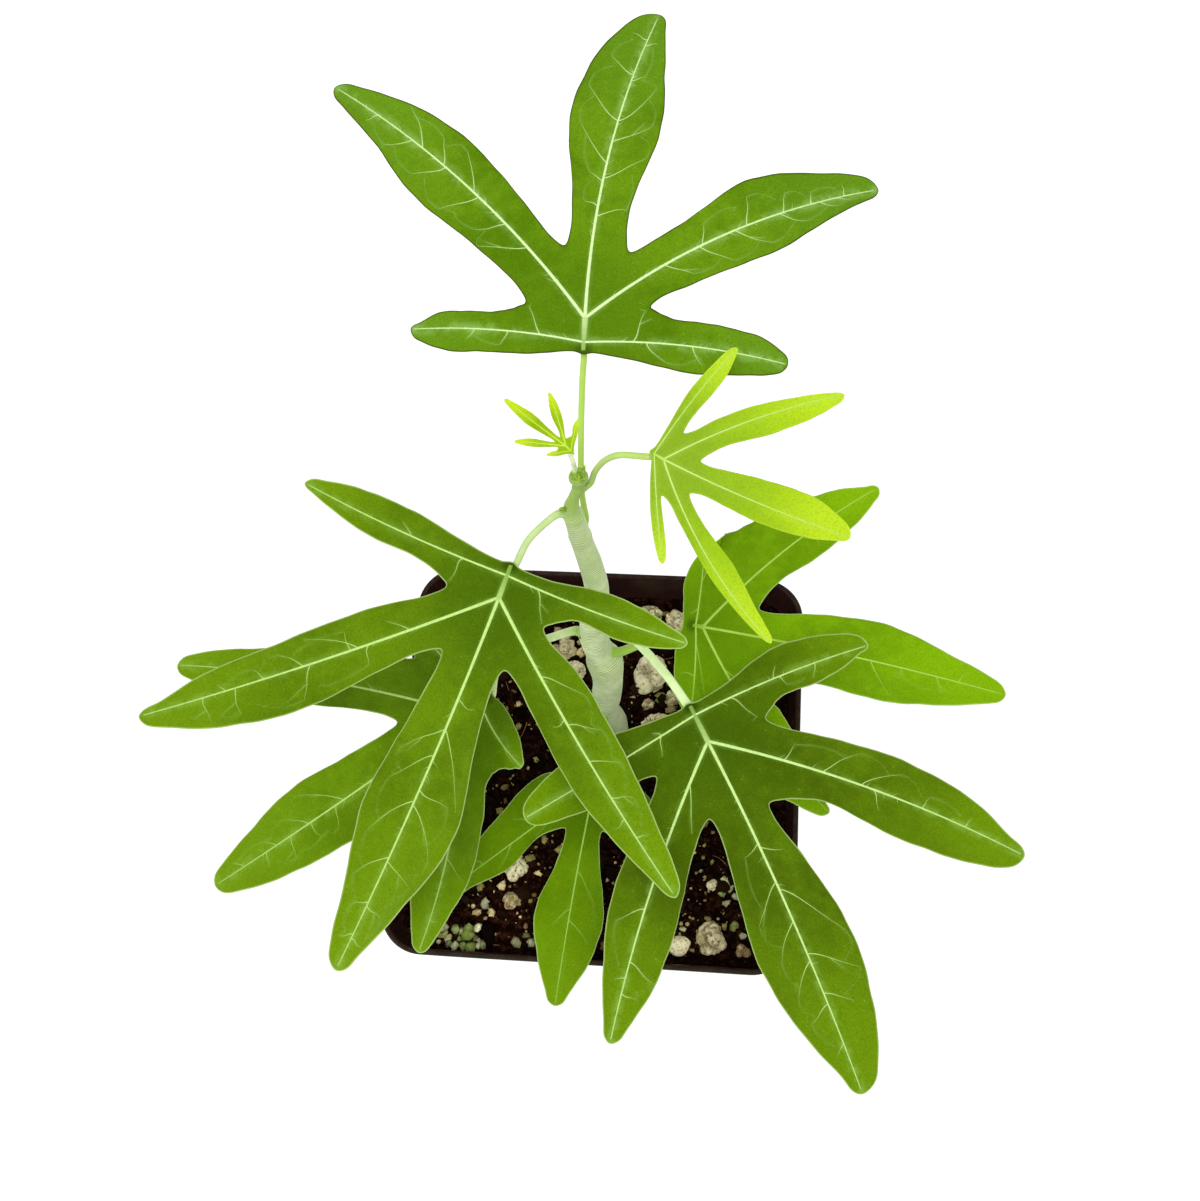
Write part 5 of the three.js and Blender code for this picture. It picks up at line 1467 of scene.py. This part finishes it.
vein_looks = {  # at the root and where it runs out
    "leaf_rear": ((220, 242, 176), (112, 156, 34)),
    "leaf_front_left": ((196, 230, 134), (100, 138, 12)),
    "leaf_front_right": ((206, 238, 150), (96, 134, 12)),
    "leaf_low_left": ((182, 218, 118), (104, 142, 10)),
    "leaf_low_front": ((166, 210, 90), (100, 138, 6)),
    "leaf_right_rear": ((176, 216, 90), (122, 168, 6)),
    "leaf_young": ((196, 226, 124), (162, 202, 50)),
    "leaf_tiny": ((196, 228, 80), (168, 206, 6)),
}
stalk_looks = {  # along most of it and at its ends
    "leaf_rear": ((172, 206, 88), (148, 184, 60)),
    "leaf_front_left": ((192, 214, 146), (150, 182, 88)),
    "leaf_front_right": ((232, 254, 188), (156, 194, 84)),
    "leaf_low_left": ((234, 252, 190), (140, 180, 66)),
    "leaf_low_front": ((170, 206, 104), (140, 176, 60)),
    "leaf_right_rear": ((168, 206, 88), (148, 188, 72)),
    "leaf_young": ((180, 208, 108), (150, 182, 76)),
    "leaf_tiny": ((250, 254, 218), (204, 226, 124)),
}

for name, leaf in LEAVES.items():
    read = outline(leaf)
    grids = [lobe_grid(leaf, k, read) for k in range(5)]
    veins = vein_groups(leaf, name, grids)
    blade_piece(name, leaf, grids, veins, blade_material(f"{name}_green", skin, **blade_looks[name]))
    vein_piece(name, leaf, veins, vein_material(f"{name}_vein", *vein_looks[name]))
    stalk_piece(name, leaf, stalk_material(f"{name}_stalk_green", *stalk_looks[name]))

stem_piece(stem_material(skin))
bud_green = bud_material(skin)
side_buds(bud_green)
shoot_tip(bud_green)
pot_piece(pot_material())
soil_piece(soil_material())
pumice = pumice_material()
for i, spec in enumerate(STONES):
    stone_piece(i, spec, pumice)
perlite = grain_material("perlite", (104, 78, 44), (248, 226, 164), (150, 144, 74))
beads = grain_material("white_perlite", (88, 94, 46), (255, 251, 208), (138, 158, 72))
bark = grain_material("bark", (12, 5, 3), (56, 34, 22), (28, 14, 10))
root = grain_material("root_fibre", (104, 66, 52), (150, 100, 82), (120, 84, 66))
scattered("perlite_grit", 360, (0.8, 2.6), 1.8, 31, perlite, "pumice_stone", stretch=0.35, lift=0.2)
scattered("perlite_dust", 700, (0.3, 0.9), 1.5, 45, perlite, "pumice_stone", stretch=0.3, lift=0.2)
scattered("bark_chips", 600, (1.0, 4.5), 2.6, 32, bark, "soil_mix", stretch=0.6, lift=0.0, tone_spread=0.7)
bead_cluster(beads)
fibres(root)


# Stage, light and camera

def floor():
    """A white floor that glows nearly as bright as the paper under the real plant, so that only the foot of
    the pot has a faint shadow."""
    half = 3.0
    mesh = bpy.data.meshes.new("floor")
    corners = [(-half, -half, 0), (half, -half, 0), (half, half, 0), (-half, half, 0)]
    mesh.from_pydata(corners, [], [(0, 1, 2, 3)])
    material, _, shader = new_material("white_floor")
    shader.inputs["Base Color"].default_value = (0.3, 0.3, 0.3, 1)
    shader.inputs["Roughness"].default_value = 0.9
    shader.inputs["Specular IOR Level"].default_value = 0.0
    shader.inputs["Emission Color"].default_value = (1, 1, 1, 1)
    shader.inputs["Emission Strength"].default_value = 0.85
    mesh.materials.append(material)
    piece = bpy.data.objects.new("floor", mesh)
    bpy.context.collection.objects.link(piece)


def softbox(name, place, aim, size, watts, shows):
    """A square soft light. One that doesn't show lights the plant without a glare of its own on it."""
    light = bpy.data.lights.new(name, "AREA")
    light.shape = "SQUARE"
    light.size = size
    light.energy = watts
    lamp = bpy.data.objects.new(name, light)
    away = unit(np.array(place) - np.array(aim))
    lamp.matrix_world = frame_from(np.array(place), away, np.array([0.0, 1, 0]))
    lamp.visible_glossy = shows
    bpy.context.collection.objects.link(lamp)


def frame_from(place, back, up):
    """A matrix at a place whose -Z looks away from back, with +Y as near to up as it can be."""
    right = unit(np.cross(up, back))
    upward = np.cross(back, right)
    rows = np.column_stack([right, upward, back, place])
    return Matrix([*map(list, rows), [0, 0, 0, 1]])


floor()
world = bpy.context.scene.world or bpy.data.worlds.new("world")
bpy.context.scene.world = world
world.use_nodes = True
world.node_tree.nodes["Background"].inputs["Color"].default_value = (1, 1, 1, 1)
world.node_tree.nodes["Background"].inputs["Strength"].default_value = 0.5
world.cycles_visibility.glossy = False
softbox("overhead", (0.2, -0.6, 2.6), (0, 0, 0.12), 1.0, 51.0, False)
softbox("left_front", (-1.1, -0.5, 0.5), (0, 0, 0.12), 0.5, 2.5, True)

CAMERA_PLACE = np.array([27.7, -79.3, 394.7]) * MM
LOOK = unit(np.array([-0.0890, 0.3495, -0.9327]))
RIGHT = np.array([0.9952, 0.0698, -0.0690])
FOCUS = 1450 / 1200  # focal length, of the photograph's width
camera = bpy.data.cameras.new("camera")
camera.sensor_fit = "HORIZONTAL"
camera.sensor_width = 36
camera.lens = FOCUS * camera.sensor_width
camera.clip_start = 0.01
eye = bpy.data.objects.new("camera", camera)
eye.matrix_world = frame_from(CAMERA_PLACE, -LOOK, np.cross(RIGHT, LOOK))
bpy.context.collection.objects.link(eye)
bpy.context.scene.camera = eye
bpy.context.scene.view_settings.view_transform = "Standard"
